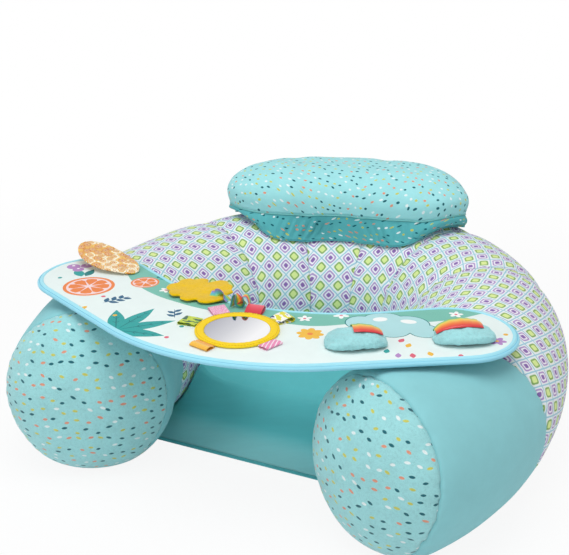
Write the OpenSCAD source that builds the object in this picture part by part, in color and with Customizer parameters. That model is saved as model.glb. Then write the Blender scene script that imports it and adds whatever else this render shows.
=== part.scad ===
// Inflatable baby floor seat: a C-shaped air ring in a sewn cover, a seat cushion
// between its arms, a head pillow on its rim and a play tray laid over its arms.
// +X is the sitter's left, -Y the open front, +Z up; the floor is at z = 0.

/* [Inflated ring] */
// Half the width between the middles of the two arms
ring_half_w = 253; // [235:1:280]
// Distance from the ring's middle to the middle of the backrest tube
ring_half_d = 318; // [300:1:350]
// Angle from the backrest round to each arm end
ring_turn = 124; // [118:1:128]
// Width of the tube at the arms
arm_w = 223; // [205:1:235]
// Height of the arms
arm_h = 222; // [205:1:245]
// Width of the tube at the backrest
back_w = 230; // [210:1:245]
// Height of the backrest
back_h = 238; // [225:1:260]
// How far the top of the backrest leans outwards
back_lean = 28; // [10:1:40]
// Length of the domed arm ends
dome_l = 80; // [70:1:95]
// How far the floor presses the underside flat
floor_press = 8; // [5:0.5:14]

/* [Cover] */
// Thickness of the cover fabric
cover_t = 2.5; // [1.5:0.1:3.5]
// Thickness of the fabric panel on the floor
base_t = 2; // [1:0.1:3]
// Angle of the first and second pair of seams on the backrest
back_seam_turn = 28; // [22:1:32]
// Angle of the seam between print and plain fabric, on the outside of the arm
side_seam_turn_out = 97.5; // [92:0.5:102]
// Angle of the same seam on the inside of the arm
side_seam_turn_in = 107; // [103:0.5:111]
// Distance from the arm's end section to the seam of its plush end
end_seam_l = 27; // [20:1:32]
// Depth to which the backrest seams draw the cover in
seam_dip = 2.5; // [0:0.1:4]
// Margin of the floor panel beyond the line where the tube meets the floor
base_margin = 3; // [1:0.5:5]

/* [Seat cushion] */
// Height of the seat cushion at its edge
seat_h = 47; // [35:1:60]
// Rise of the cushion's crown in the middle
seat_crown = 6; // [0:0.5:12]
// Distance from the ring's middle to the foot of the cushion's front slope
seat_foot_y = 52; // [45:1:65]
// Distance from the ring's middle to the top of the cushion's front slope
seat_brow_y = 8; // [0:1:20]
// Distance from the ring's middle to the front edge of the floor panel
apron_y = 105; // [90:1:118]

/* [Head pillow] */
// Angle round the rim at which the pillow sits, off the middle of the backrest
pillow_turn = -10; // [-14:1:14]
// Half the angle of rim that the pillow covers
pillow_half_turn = 43; // [36:1:46]
// Angle over which the pillow wraps each side of the rim's crest
pillow_wrap_turn = 39; // [32:1:42]
// Thickness of the pillow in the middle
pillow_h = 88; // [65:1:100]
// Height of the front panel in the middle
pillow_front_h = 42; // [25:1:50]
// Height of the pillow's edge at its ends and rear
pillow_edge_h = 9; // [6:1:20]
// Thickness of the pillow's fabric
pillow_t = 1.8; // [1:0.1:2.5]

/* [Play tray] */
// Half the overall width of the tray
tray_half_w = 324; // [310:1:345]
// Distance from the ring's middle to the tray's front edge
tray_front_y = 268; // [255:1:290]
// Distance from the ring's middle to the deepest point of the tray's hollow rear edge
tray_rear_y = 100; // [85:1:105]
// Radius of the tray's round ends
tray_end_r = 77; // [68:1:84]
// Distance from the ring's middle to the line of the end circles' centres
tray_end_y = 86; // [72:1:90]
// How much of the front edge is round, its flanks being straight
tray_front_round = 0.62; // [0.5:0.01:0.9]
// How much of the rear edge is round
tray_rear_round = 0.8; // [0.5:0.01:0.9]
// Thickness of the stiff board inside the tray
board_t = 5; // [3:0.5:7]
// Thickness of the fabric above and below the board
tray_fabric_t = 1.2; // [0.8:0.1:2]
// Thickness of the piping round the edge
piping_d = 9; // [7:0.5:10]
// How far the loose tray is turned on the arms
tray_turn = 3.5; // [0:0.1:4]
// How far the loose tray lies off the middle
tray_shift = -3; // [-10:1:10]

/* [Fastening] */
// Thickness of each half of the hook-and-loop tape
tape_t = 0.8; // [0.5:0.1:1.2]
// Width of the hook-and-loop patches
tape_w = 46; // [30:1:55]
// Length of the patches on the arms
tape_l = 90; // [60:5:110]
// Length of the strip under the pillow
strip_l = 180; // [120:5:200]

/* [Zip] */
// Angle of the ring that the zip covers on each side of the middle
zip_turn = 28; // [20:1:30]
// Angle below the horizontal at which the zip lies on the tube
zip_rise_angle = -24.5; // [-32:0.5:-20]
// Width of each zip tape, as an angle round the tube
zip_tape_turn = 6; // [4:0.5:8]
// Number of teeth
zip_count = 60; // [40:2:80]
// Width of a tooth along the zip
tooth_w = 3; // [2:0.1:3.5]
// Length of a tooth across the zip
tooth_l = 5; // [4:0.1:6]
// Thickness of a tooth
tooth_t = 1.4; // [1:0.1:2]
// Width of the slider along the zip
slider_w = 11; // [8:0.5:14]
// Length of the slider across the zip
slider_l = 9.5; // [8.5:0.5:12]
// Thickness of the slider's plate and jaws
slider_t = 1.4; // [1:0.1:2]
// Length of the pull tab
pull_l = 26; // [18:1:34]
// Width of the pull tab
pull_w = 4; // [3:0.5:5]
// Thickness of the pull tab
pull_t = 1.4; // [1:0.1:2]

/* [Valve] */
// Angle round the ring at which the air valve lies
valve_turn = 14; // [8:1:20]
// Radius of the valve cup
valve_r = 12; // [9:0.5:15]
// Depth of the valve cup
valve_l = 13; // [9:0.5:18]
// Radius of the valve's flange
valve_flange_r = 18; // [16:0.5:22]
// Thickness of the valve's flange
valve_flange_t = 1; // [0.6:0.1:1.5]
// Wall of the valve cup
valve_wall = 2; // [1.2:0.1:2.5]
// Radius of the air hole
valve_hole_r = 4; // [3:0.1:5]

/* [Toys] */
// Place of the mirror on the tray
mirror_x = 9.5; // [0:0.5:30]
// Distance from the ring's middle line to the mirror's centre
mirror_y = 183.5; // [178:0.5:190]
// Radius of the mirror's visible face
mirror_r = 39.4; // [34:0.1:42]
// Width of the mirror's padded frame
mirror_frame_w = 11.2; // [9:0.1:13]
// Height of the mirror's padded frame
mirror_frame_h = 4; // [3:0.5:6]
// Width of the ribbon tags
tag_w = 22; // [18:1:25]
// Length of the ribbon tags
tag_l = 22; // [16:1:26]
// Length of the crinkle flap
crinkle_l = 105; // [80:1:110]
// Width of the crinkle flap
crinkle_w = 60; // [45:1:64]
// Angle by which the crinkle flap stands up from the tray
crinkle_rise_angle = 9; // [6:1:20]
// Length of the leaf flap
leaf_l = 88; // [75:1:92]
// Width of the leaf flap
leaf_w = 76; // [60:1:78]
// Thickness of the leaf flap
leaf_t = 3; // [2:0.5:5]
// Length of each plush flap
plush_l = 72; // [60:1:75]
// Width of each plush flap
plush_w = 44; // [34:1:46]
// Height of each plush flap
plush_h = 17; // [14:1:24]

/* [Hidden] */

// colours
teal = "#7fcfc9";
plush_teal = "#86cfd6";
print_base = "#cfd3dc";
pillow_blue = "#7fcdd6";

// clearance between pieces that are sewn or pressed together
gap = 0.3;
// overlap that joins two shapes of one piece
weld = 0.1;
// clearance between the cushion's side and the uneven inner wall
wall_gap = 2.5;
// steps round the tube from floor line to floor line
round_steps = 16;
// how far along each print panel its rows of points lie
back_cuts = [0, 0.14, 0.5, 0.86, 1];
arm_cuts = [0, 0.08, 0.27, 0.5, 0.73, 0.92, 1];
side_cuts = [0, 0.33, 0.67, 1];
// angle over which a seam's dip fades
dip_reach_angle = 3;
// angle along the dome at the seam of the plush end
end_seam_p = asin(end_seam_l / dome_l);
// rows over the plush end
end_cuts = [0, 0.22, 0.46, 0.72];

// share of the zip's sweep that the teeth cover, and where the slider waits
zip_share = 0.97;
slider_share = 0.955;
slider_gap = 0.5;
eye_gap = 4.6;
eye_t = 1.2;
eye_h = 4.6;
eye_l = 5;
pin_r = 0.9;
pin_gap = 0.3;
// angle round the tube at which the valve lies, how deep its flange is let in
valve_rise_angle = -2;
valve_inset = 5;
plug_t = 2;
plug_knob_r = 3;
plug_knob_h = 4;
// angle round the ring of the hook-and-loop patches on the arms
patch_turn = 105;

// toys: places on the tray, measured from the ring's middle, and their small sizes
mirror_t = 2.4;
tag_h = 3;
tag_fold = 2;
loop_x = -21;
loop_y = -118;
loop_turn = 10;
loop_r = 10;
loop_w = 12;
flap_fabric_t = 1.2;
film_t = 0.3;
crinkle_x = -198;
crinkle_y = -61;
crinkle_turn = 164;
leaf_x = -38;
leaf_y = -102;
leaf_turn = 177;
leaf_gap = 4;
leaf_ribbon_w = 14;
leaf_steps = 56;
leaf_lobes = 7;
leaf_notch = 0.16;
plush_points = 16;
plush_cuts = [0, 0.06, 0.2, 0.4, 0.6, 0.8, 0.94, 1];
plush_left_x = 232;
plush_left_y = -126;
plush_left_turn = 27;
plush_right_x = 184;
plush_right_y = -153;
plush_right_turn = 207;
lining_r = 14;
// how far the piping stands above and below the tray
piping_proud = (piping_d - board_t - 2 * tray_fabric_t) / 2 + 0.1;
// angle round the ring where the tray's rear edge crosses the arms
tray_rear_turn = 86;

function mix(a, b, f) = a + (b - a) * f;
function reversed(v) = [for (i = [len(v) - 1:-1:0]) v[i]];
function flat(v) = [for (row = v) each row];

// ---- the ring's skin ----

// share of the way from backrest to arm
function ease(t) = (1 - cos(180 * min(1, abs(t) / ring_turn))) / 2;
function tube_w(t) = mix(back_w, arm_w, ease(t));
function tube_h(t) = mix(back_h, arm_h, ease(t));
function tube_lean(t) = back_lean * (1 - ease(t));
// middle line of the tube in plan, its direction and the direction away from the seat
function spine(t) = [ring_half_w * sin(t), ring_half_d * cos(t)];
function along(t) = let (v = [ring_half_w * cos(t), -ring_half_d * sin(t)]) v / norm(v);
function outward(t) = let (v = along(t)) [-v.y, v.x];

// a station is [ring angle outside, ring angle inside, dome angle]
function station(t) = [t, t, 0];
function station_t(st, a) = mix(st[0], st[1], (1 - cos(a)) / 2);

// depth of the drawn-in seams at ring angle t
function dip(t) = let (near = min([for (k = [0:2]) abs(abs(t) - k * back_seam_turn)]))
    seam_dip * exp(-pow(near / dip_reach_angle, 2));

// point at angle a round the tube (0 outside, 90 top, 180 inside), d under the skin
function skin(st, a, d = 0, low = 0) =
    let (t = station_t(st, a), s = cos(st[2]), under = d + (sin(a) > -0.2 ? dip(t) : 0))
    let (h = tube_h(t) / 2, r = sin(a) > 0 ? h - under : h - under + floor_press)
    let (z = max(low, h + r * s * sin(a)))
    let (u = (tube_w(t) / 2 - under) * s * cos(a) + tube_lean(t) * (z / (2 * h) - 0.5))
    let (c = spine(t) + along(t) * sign(t) * (dome_l - d) * sin(st[2]) + outward(t) * u)
    [c.x, c.y, z];

// steepest_angle angle on the tube at which a panel may end
steepest_angle = 80;
// angle below the horizontal at which the skin reaches height low
function floor_angle(st, low) =
    let (h = tube_h(st[0]) / 2)
    min(steepest_angle, asin(min(1, (h - low) / ((h + floor_press) * cos(st[2])))));

// angles round the tube from outer floor line to inner floor line
panel_low = base_t + 0.1;
function angles(st) = let (f = floor_angle(st, panel_low))
    [for (i = [0:round_steps]) mix(-f, 180 + f, i / round_steps)];

// a row of skin points at a station, open at the floor or closed underneath
function open_row(st, d, low) = [for (a = angles(st)) skin(st, a, d, low)];
function bed_angle(st, d, low) = let (f = floor_angle(st, panel_low), h = tube_h(st[0]) / 2)
    max(mix(f, 90, 0.35), asin(min(0.99, (h - low) / ((h - d + floor_press) * cos(st[2])))));
function closed_row(st, d, low) = let (f = bed_angle(st, d, low))
    concat(open_row(st, d, low), [skin(st, 180 + f, d, low), skin(st, 360 - f, d, low)]);
function tip(side, d) = let (t = side * ring_turn, c = spine(t) + along(t) * side * (dome_l - d))
    [c.x, c.y, tube_h(t) / 2];

// stations of each panel on the sitter's left
seams = [[0, 0], [back_seam_turn, back_seam_turn], [2 * back_seam_turn, 2 * back_seam_turn],
    [side_seam_turn_out, side_seam_turn_in], [ring_turn, ring_turn]];
function panel_stations(n, cuts) =
    [for (f = cuts) [mix(seams[n][0], seams[n + 1][0], f), mix(seams[n][1], seams[n + 1][1], f), 0]];
dome_start = [for (p = [end_seam_p / 2, end_seam_p]) [ring_turn, ring_turn, p]];
dome_end = [for (f = end_cuts) [ring_turn, ring_turn, mix(end_seam_p, 90, f)]];
side_stations = concat(panel_stations(3, side_cuts), dome_start);

// ---- closed meshes from rows of points ----

// faces between neighbouring rows; closed rows also join their last point to their first
// the first turned rows are split along the other diagonal
function strip_faces(first, rows, cols, closed, flip, turned = 0) =
    let (last = closed ? cols - 1 : cols - 2)
    [for (i = [0:rows - 2], j = [0:last], k = [0, 1])
        let (a = first + i * cols + j, b = first + i * cols + (j + 1) % cols)
        let (f = i < turned ? (k == 0 ? [a, a + cols, b] : [b, a + cols, b + cols])
            : (k == 0 ? [a, b + cols, b] : [a, a + cols, b + cols]))
        flip ? [f[0], f[2], f[1]] : f];
function fan_faces(first, cols, top, flip) =
    [for (j = [0:cols - 1]) let (a = first + j, b = first + (j + 1) % cols)
        flip ? [a, top, b] : [a, b, top]];

// thin sheet between two open grids
module sheet(outer, inner) {
    rows = len(outer);
    cols = len(outer[0]);
    n = rows * cols;
    rim = concat([for (j = [0:cols - 1]) j], [for (i = [1:rows - 1]) i * cols + cols - 1],
        [for (j = [cols - 2:-1:0]) (rows - 1) * cols + j], [for (i = [rows - 2:-1:1]) i * cols]);
    m = len(rim);
    edges = [for (i = [0:m - 1], k = [0, 1])
        let (a = rim[i], b = rim[(i + 1) % m])
        a < b ? (k == 0 ? [a, b, b + n] : [a, b + n, a + n])
            : (k == 0 ? [a, b, a + n] : [b, b + n, a + n])];
    polyhedron(concat(flat(outer), flat(inner)),
        concat(strip_faces(0, rows, cols, false, false), strip_faces(n, rows, cols, false, true),
        edges));
}

// solid through closed rows, with a point at each end
module loft(rows, start, end, turned = 0) {
    cols = len(rows[0]);
    n = len(rows) * cols;
    polyhedron(concat(flat(rows), [start, end]),
        concat(strip_faces(0, len(rows), cols, true, false, turned),
        fan_faces(0, cols, n, false), fan_faces(n - cols, cols, n + 1, true)));
}

// thin bowl: closed rows outside and inside, each ending in a point
module bowl(outer, inner, outer_tip, inner_tip, turned = 0) {
    cols = len(outer[0]);
    rows = len(outer);
    n = rows * cols;
    lip = [for (j = [0:cols - 1], k = [0, 1])
        let (a = j, b = (j + 1) % cols)
        k == 0 ? [a, b, b + n] : [a, b + n, a + n]];
    polyhedron(concat(flat(outer), flat(inner), [outer_tip, inner_tip]),
        concat(strip_faces(0, rows, cols, true, false, turned), fan_faces(n - cols, cols, 2 * n, true),
        strip_faces(n, rows, cols, true, true, turned), fan_faces(2 * n - cols, cols, 2 * n + 1, false),
        lip));
}

// tube between closed rows outside and inside, open at both ends
module ring_sheet(outer, inner) {
    cols = len(outer[0]);
    rows = len(outer);
    n = rows * cols;
    last = n - cols;
    lips = [for (j = [0:cols - 1], k = [0:3])
        let (a = j, b = (j + 1) % cols)
        k == 0 ? [a, b, b + n] : k == 1 ? [a, b + n, a + n]
            : k == 2 ? [last + a, last + b + n, last + b] : [last + a, last + a + n, last + b + n]];
    polyhedron(concat(flat(outer), flat(inner)), concat(strip_faces(0, rows, cols, true, false),
        strip_faces(n, rows, cols, true, true), lips));
}

module seat_frame() translate([0, seat_dy, 0]) children();
module other_side() mirror([1, 0, 0]) children();

// ---- air chamber ----

chamber_d = cover_t + gap;
// height of the chamber's underside, which rises over the plush ends' fabric
function bed(p) = base_t + gap + (cover_t + gap) * min(1, sin(p) / sin(end_seam_p));
half_stations = concat(panel_stations(0, back_cuts), [for (i = [1:len(back_cuts) - 1])
    panel_stations(1, back_cuts)[i]], [for (i = [1:len(arm_cuts) - 1])
    panel_stations(2, arm_cuts)[i]], [for (i = [1:len(side_stations) - 1]) side_stations[i]],
    [for (i = [1:len(dome_end) - 1]) dome_end[i]]);
chamber_stations = concat([for (i = [len(half_stations) - 1:-1:1])
    [-half_stations[i][0], -half_stations[i][1], half_stations[i][2]]], half_stations);

module air_chamber() color("#dfe7ea") difference() {
    seat_frame() loft([for (st = chamber_stations) closed_row(st, chamber_d, bed(st[2]))],
        tip(-1, chamber_d), tip(1, chamber_d), len(half_stations) - 1);
    valve_pocket();
}

// ---- cover ----

module skin_panel(stations)
    sheet([for (st = stations) open_row(st, 0, panel_low)],
        [for (st = stations) open_row(st, cover_t, panel_low)]);

module side_panel() color(teal) skin_panel(side_stations);
module side_panel_left() seat_frame() side_panel();
module side_panel_right() seat_frame() other_side() side_panel();

module arm_end() color(plush_teal)
    bowl([for (st = dome_end) closed_row(st, 0, panel_low)],
        [for (st = dome_end) closed_row(st, cover_t, panel_low + cover_t)],
        tip(1, 0), tip(1, cover_t));
module arm_end_left() seat_frame() arm_end();
module arm_end_right() seat_frame() other_side() arm_end();

module rim_panel(n, cuts) color(print_base) skin_panel(panel_stations(n, cuts));
module rim_back_left() seat_frame() rim_panel(0, back_cuts);
module rim_back_right() seat_frame() other_side() rim_panel(0, back_cuts);
module rim_shoulder_left() seat_frame() rim_panel(1, back_cuts);
module rim_shoulder_right() seat_frame() other_side() rim_panel(1, back_cuts);
module rim_arm_left() seat_frame() rim_panel(2, arm_cuts);
module rim_arm_right() seat_frame() other_side() rim_panel(2, arm_cuts);

// ---- air valve, sunk in the rear of the chamber above the zip ----

// place with x pointing straight out of the chamber's rear wall
module valve_frame() {
    p = skin(station(valve_turn), valve_rise_angle, chamber_d);
    o = outward(valve_turn);
    seat_frame() translate(p) rotate([0, 0, atan2(o.y, o.x)]) rotate([0, -valve_rise_angle, 0])
        translate([-valve_inset, 0, 0]) rotate([0, 90, 0]) children();
}

module valve_body() color("white") valve_frame() difference() {
    union() {
        translate([0, 0, -valve_l]) cylinder(r = valve_r, h = valve_l);
        cylinder(r = valve_flange_r, h = valve_flange_t);
    }
    translate([0, 0, valve_wall - valve_l])
        cylinder(r = valve_r - valve_wall, h = valve_l + valve_flange_t);
    translate([0, 0, -valve_l - 1]) cylinder(r = valve_hole_r, h = valve_l);
}

module valve_plug() color("#e8f2f4") valve_frame() {
    translate([0, 0, -valve_l]) cylinder(r = valve_hole_r - gap, h = valve_wall + weld);
    translate([0, 0, valve_wall - valve_l]) cylinder(r = valve_r - valve_wall - gap, h = plug_t);
    translate([0, 0, valve_wall - valve_l + plug_t])
        cylinder(r = plug_knob_r, h = plug_knob_h);
}

// flat-sided room for the valve in the chamber
pocket_sides = 24;
module pocket_prism(r, h) linear_extrude(h)
    polygon([for (i = [0:pocket_sides - 1]) let (a = 360 * i / pocket_sides)
        (r + gap) / cos(180 / pocket_sides) * [cos(a), sin(a)]]);
module valve_pocket() valve_frame() {
    translate([0, 0, -valve_l - gap]) pocket_prism(valve_r, valve_l + 2 * gap);
    translate([0, 0, -gap]) pocket_prism(valve_flange_r, 2 * valve_inset);
}

// ---- floor panel ----

// edge of the tube's footprint, beyond it by m; side is 1 outside and -1 inside
function contact(st, side, m) =
    let (t = st[0], u = tube_w(t) / 2 * cos(st[2]) * cos(floor_angle(st, 0)) + m)
    spine(t) + along(t) * dome_l * sin(st[2]) + outward(t) * (side * u - tube_lean(t) / 2);
// dome angle at which the tube leaves the floor
lift_p = acos(tube_h(ring_turn) / (tube_h(ring_turn) + 2 * floor_press));
contact_steps = 12;
base_half = concat([for (i = [0:contact_steps])
    contact(station(ring_turn * i / contact_steps), 1, base_margin)],
    [for (f = [0.4, 0.75, 1]) contact([ring_turn, ring_turn, lift_p * f], 1, base_margin)],
    [for (f = [1, 0.75, 0.4, 0]) contact([ring_turn, ring_turn, lift_p * f], -1, base_margin)],
    [let (t = apron_angle()) [contact(station(t), -1, base_margin).x, -apron_y]]);
// ring angle at which the inner edge of the footprint meets the apron's front edge
function apron_angle(lo = 90, hi = ring_turn, n = 14) =
    let (m = (lo + hi) / 2)
    n == 0 ? m : contact(station(m), -1, base_margin).y > -apron_y
        ? apron_angle(m, hi, n - 1) : apron_angle(lo, m, n - 1);

module base_panel() color(teal) seat_frame() linear_extrude(base_t)
    polygon(concat(base_half, [for (p = reversed(base_half)) [-p.x, p.y]]));

// ---- seat cushion ----

seat_mid = [0, 70];
// height below which the cushion's side stays upright instead of following the tube
tuck_z = 14;
wall_steps = 20;
front_steps = 6;
// [share of the height, distance drawn in] of the rows up the side
seat_levels = [[0, 0], [0.35, 0], [0.7, 0], [0.9, 2], [1, 9]];
// shares of the outline for the rows across the top
seat_rings = [0.75, 0.4];

// point on the ring's inner wall at height z, c away from it
function wall_point(t, z, c) =
    let (h = tube_h(t) / 2, a = 180 + asin((h - max(z, tuck_z)) / (h + floor_press)))
    let (p = skin(station(t), a, -c)) [p.x, p.y, z];
// the front slope bulges: upright at its foot and easing into the top
function front_y(z, d) = d - mix(seat_foot_y, seat_brow_y, 1 - cos(90 * min(1, z / seat_h)));
function wall_end(z, d, lo = 70, hi = 115, n = 14) =
    let (m = (lo + hi) / 2)
    n == 0 ? m : wall_point(m, z, wall_gap + d).y > front_y(z, d)
        ? wall_end(z, d, m, hi, n - 1) : wall_end(z, d, lo, m, n - 1);
function drawn(p, e) = let (v = seat_mid - [p.x, p.y]) [p.x, p.y, p.z] + [v.x, v.y, 0] / norm(v) * e;

// one outline of the cushion, counterclockwise from its front left corner
function seat_row(z, e, d) =
    let (t = wall_end(z, d), x = wall_point(t, z, wall_gap + d).x, y = front_y(z, d))
    let (wall = [for (i = [0:wall_steps]) wall_point(mix(t, -t, i / wall_steps), z, wall_gap + d)])
    let (front = [for (i = [1:front_steps - 1]) [mix(-x, x, i / front_steps), y, z]])
    [for (p = concat(wall, front)) drawn(p, e)];
function seat_side(d, low) = [for (l = seat_levels) seat_row(mix(low, seat_h - d, l[0]), l[1], d)];
function seat_top(d) =
    let (edge = seat_row(seat_h - d, seat_levels[len(seat_levels) - 1][1], d))
    [for (f = seat_rings) [for (p = edge) [mix(seat_mid.x, p.x, f), mix(seat_mid.y, p.y, f),
        seat_h - d + seat_crown * (1 - f * f)]]];
function seat_rows(d, low) = concat(seat_side(d, low), seat_top(d));
function seat_tip(d) = [seat_mid.x, seat_mid.y, seat_h - d + seat_crown];

module seat_pad() color("#f2efe6") seat_frame()
    loft(seat_rows(cover_t + gap, base_t + gap), [seat_mid.x, seat_mid.y, base_t + gap],
        seat_tip(cover_t + gap));

module seat_cover() color(teal) seat_frame()
    bowl(seat_rows(0, panel_low), seat_rows(cover_t, panel_low), seat_tip(0), seat_tip(cover_t));

// ---- zip along the low rear of the cover ----

// a point of the zip line and the circle through its middle and ends
function zip_xy(t, d) = let (p = skin(station(t), zip_rise_angle, d)) [p.x, p.y];
zip_mid_y = zip_xy(0, 0).y;
zip_end = zip_xy(zip_turn, 0);
zip_centre_y = (zip_end.x * zip_end.x + zip_end.y * zip_end.y - zip_mid_y * zip_mid_y)
    / (2 * (zip_end.y - zip_mid_y));
zip_r = zip_mid_y - zip_centre_y;
zip_z = skin(station(0), zip_rise_angle, 0).z;
zip_sweep = atan2(zip_end.x, zip_end.y - zip_centre_y);
// height of the teeth over the fabric, which leaves room for the uneven wall
teeth_lift = gap + tape_t + 0.5;

module zip_tape(a_low, a_high) color("#62bdb8") seat_frame()
    sheet([for (t = [-zip_turn:zip_turn / 6:zip_turn]) [for (a = [a_low, a_high])
            skin(station(t), a, -gap - tape_t)]],
        [for (t = [-zip_turn:zip_turn / 6:zip_turn]) [for (a = [a_low, a_high])
            skin(station(t), a, -gap)]]);
module zip_tape_lower() zip_tape(zip_rise_angle - zip_tape_turn, zip_rise_angle - 0.3);
module zip_tape_upper() zip_tape(zip_rise_angle + 0.3, zip_rise_angle + zip_tape_turn);

// place at an angle round the zip's circle, x outwards along the wall's normal
module zip_place(turn) seat_frame() translate([0, zip_centre_y, zip_z]) rotate(90 - turn)
    translate([zip_r, 0, 0]) rotate([0, -zip_rise_angle, 0]) children();

module zip_teeth() color("#f4fbfb") for (i = [-zip_count / 2:zip_count / 2])
    zip_place(i * zip_sweep * 2 / (zip_count + 1) * zip_share)
        translate([teeth_lift, -tooth_w / 2, -tooth_l / 2]) cube([tooth_t, tooth_w, tooth_l]);

// slider at the closed end; its jaws ride over the teeth and its arch holds the pull
module zip_slider() color("#9fb4b8") zip_place(-zip_sweep * slider_share) {
    lift = teeth_lift + tooth_t + slider_gap;
    translate([lift, -slider_w / 2, -slider_l / 2]) cube([slider_t, slider_w, slider_l]);
    for (s = [-1, 1]) translate([lift - tooth_t, -slider_w / 2,
        s * (slider_l / 2 - slider_t / 2) - slider_t / 2]) cube([tooth_t + weld, slider_w, slider_t]);
    for (s = [-1, 1])
        translate([lift + slider_t - weld, s * (eye_gap / 2 + eye_t / 2) - eye_t / 2, -eye_l / 2])
            cube([eye_h, eye_t, eye_l]);
    translate([pin_x, 0, 0]) rotate([90, 0, 0])
        cylinder(r = pin_r, h = eye_gap + eye_t, center = true);
}

// pull tab hanging straight down from the slider's pin
pin_x = teeth_lift + tooth_t + slider_gap + slider_t + eye_h - pin_r - 0.6;
module zip_pull() color("#9fb4b8") zip_place(-zip_sweep * slider_share) translate([pin_x, 0, 0])
    rotate([0, zip_rise_angle, 0]) rotate([90, 0, 0]) translate([0, 0, -pull_w / 2])
    linear_extrude(pull_w) difference() {
        union() {
            circle(r = pin_r + pin_gap + pull_t);
            translate([-pull_t / 2, -pull_l]) square([pull_t, pull_l]);
        }
        circle(r = pin_r + pin_gap);
    }

// ---- hook-and-loop fastening ----

// thin patch on the ring's crest, from turn t0 to t1 and a half width of hw
module crest_patch(t0, t1, hw, d, steps = 6) {
    a = asin(hw / (tube_w((t0 + t1) / 2) / 2));
    grid_t = [for (i = [0:steps]) mix(t0, t1, i / steps)];
    grid_a = [for (i = [0:4]) mix(90 - a, 90 + a, i / 4)];
    sheet([for (t = grid_t) [for (b = grid_a) skin(station(t), b, d - tape_t)]],
        [for (t = grid_t) [for (b = grid_a) skin(station(t), b, d)]]);
}
patch_half = tape_l / 2 / (norm(spine(patch_turn + 1) - spine(patch_turn - 1)) / 2);
module arm_patch() color("#eef7f6")
    crest_patch(patch_turn - patch_half, patch_turn + patch_half, tape_w / 2, -gap);
module arm_patch_left() seat_frame() arm_patch();
module arm_patch_right() seat_frame() other_side() arm_patch();

strip_half = strip_l / 2 / (norm(spine(pillow_turn + 1) - spine(pillow_turn - 1)) / 2);
module rim_strip() color("#eef7f6") seat_frame()
    crest_patch(pillow_turn - strip_half, pillow_turn + strip_half, tape_w / 2, -gap);
module pillow_strip() color("#e2f0f0") seat_frame()
    crest_patch(pillow_turn - strip_half, pillow_turn + strip_half, tape_w / 2, -2 * gap - tape_t);

// ---- head pillow ----

// room for the rim's curve between the pillow's rows of points
rim_curve = 1.5;
// distance from the rim to the underside of the pillow
pillow_lift = 3 * gap + 2 * tape_t + rim_curve;
pillow_points = 20;
// half of the pillow's width over the rim
pillow_reach = back_w / 2 * pillow_wrap_turn * PI / 180;
// how far the pillow's sides splay out with the rim's curve
splay = 0.4;
// roundness of the pillow's outline, 1 is an ellipse
squareness = 0.78;
// how far the middle of the band stands out
band_bulge = 1.02;
// shares of the outline for the rows of the top and the underside
crown_rings = [0.94, 0.8, 0.58, 0.3];
under_rings = [0.25, 0.5, 0.75];

function rounded(v) = sign(v) * pow(abs(v), squareness);
function pillow_pt(r, phi, lift) =
    let (t = pillow_turn + r * rounded(cos(phi)) * pillow_half_turn)
    let (a = 90 - r * rounded(sin(phi)) * pillow_wrap_turn, o = outward(t) * cos(a) * splay)
    skin(station(t), a, -pillow_lift) + lift * [o.x, o.y, 1] / norm([o.x, o.y, 1]);
function pillow_row(r, d, lift) = [for (i = [0:pillow_points - 1])
    let (phi = 360 * i / pillow_points) pillow_pt(r - d / pillow_reach, phi, lift(phi))];
// height of the seam that joins the top to the band
function seam_h(phi) = mix(pillow_edge_h, pillow_front_h, pow(max(0, -sin(phi)), 1.2));
function top_h(r, phi) = seam_h(phi) * r * r + pillow_h * pow(1 - r * r, 0.55);
function under_rows(d, lift) = [for (r = under_rings) pillow_row(r, 0, function (phi) lift)];
function top_rows(d) = concat([pillow_row(1, d, function (phi) seam_h(phi) - d / 2)],
    [for (r = crown_rings) pillow_row(r, d, function (phi) top_h(r, phi) - d)]);
function band_rows(d, low) = [for (f = [0, 0.5, 1]) pillow_row(f == 0.5 ? band_bulge : 1, d,
    function (phi) mix(low, seam_h(phi) - pillow_t - gap, f))];

module pillow_fill() color("#f7f5ef") seat_frame() {
    d = pillow_t + gap;
    low = pillow_t + rim_curve;
    loft(concat(under_rows(d, low), [pillow_row(1, d, function (phi) low)],
        [pillow_row(1, d, function (phi) seam_h(phi) / 2)], [for (r = crown_rings)
        pillow_row(r, d, function (phi) top_h(r, phi) - d)]),
        pillow_pt(0, 0, low), pillow_pt(0, 0, pillow_h - d));
}

module pillow_top() color(pillow_blue) seat_frame()
    bowl(top_rows(0), top_rows(pillow_t), pillow_pt(0, 0, pillow_h), pillow_pt(0, 0, pillow_h - pillow_t));

// upright band below the top, tall in front and narrow at the ends and rear
module pillow_band() color(pillow_blue) seat_frame()
    ring_sheet(band_rows(0, pillow_t + 2 * gap), band_rows(pillow_t, pillow_t + 2 * gap));

module pillow_base() color(pillow_blue) seat_frame()
    bowl([for (r = concat([1], reversed(under_rings))) pillow_row(r, 0, function (phi) pillow_t)],
        [for (r = concat([1], reversed(under_rings))) pillow_row(r, 0, function (phi) 0)],
        pillow_pt(0, 0, pillow_t), pillow_pt(0, 0, 0), len(under_rings));

// ---- play tray ----

tray_end_x = tray_half_w - tray_end_r;
// half angle of the one arc that would meet both end circles, s being 1 outside them and -1 inside
function whole_half(drop, s) = let (r = (pow(tray_end_x, 2) + pow(drop, 2) - pow(tray_end_r, 2))
    / (2 * (drop * s - tray_end_r) * s)) atan2(tray_end_x, r - drop);
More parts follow.
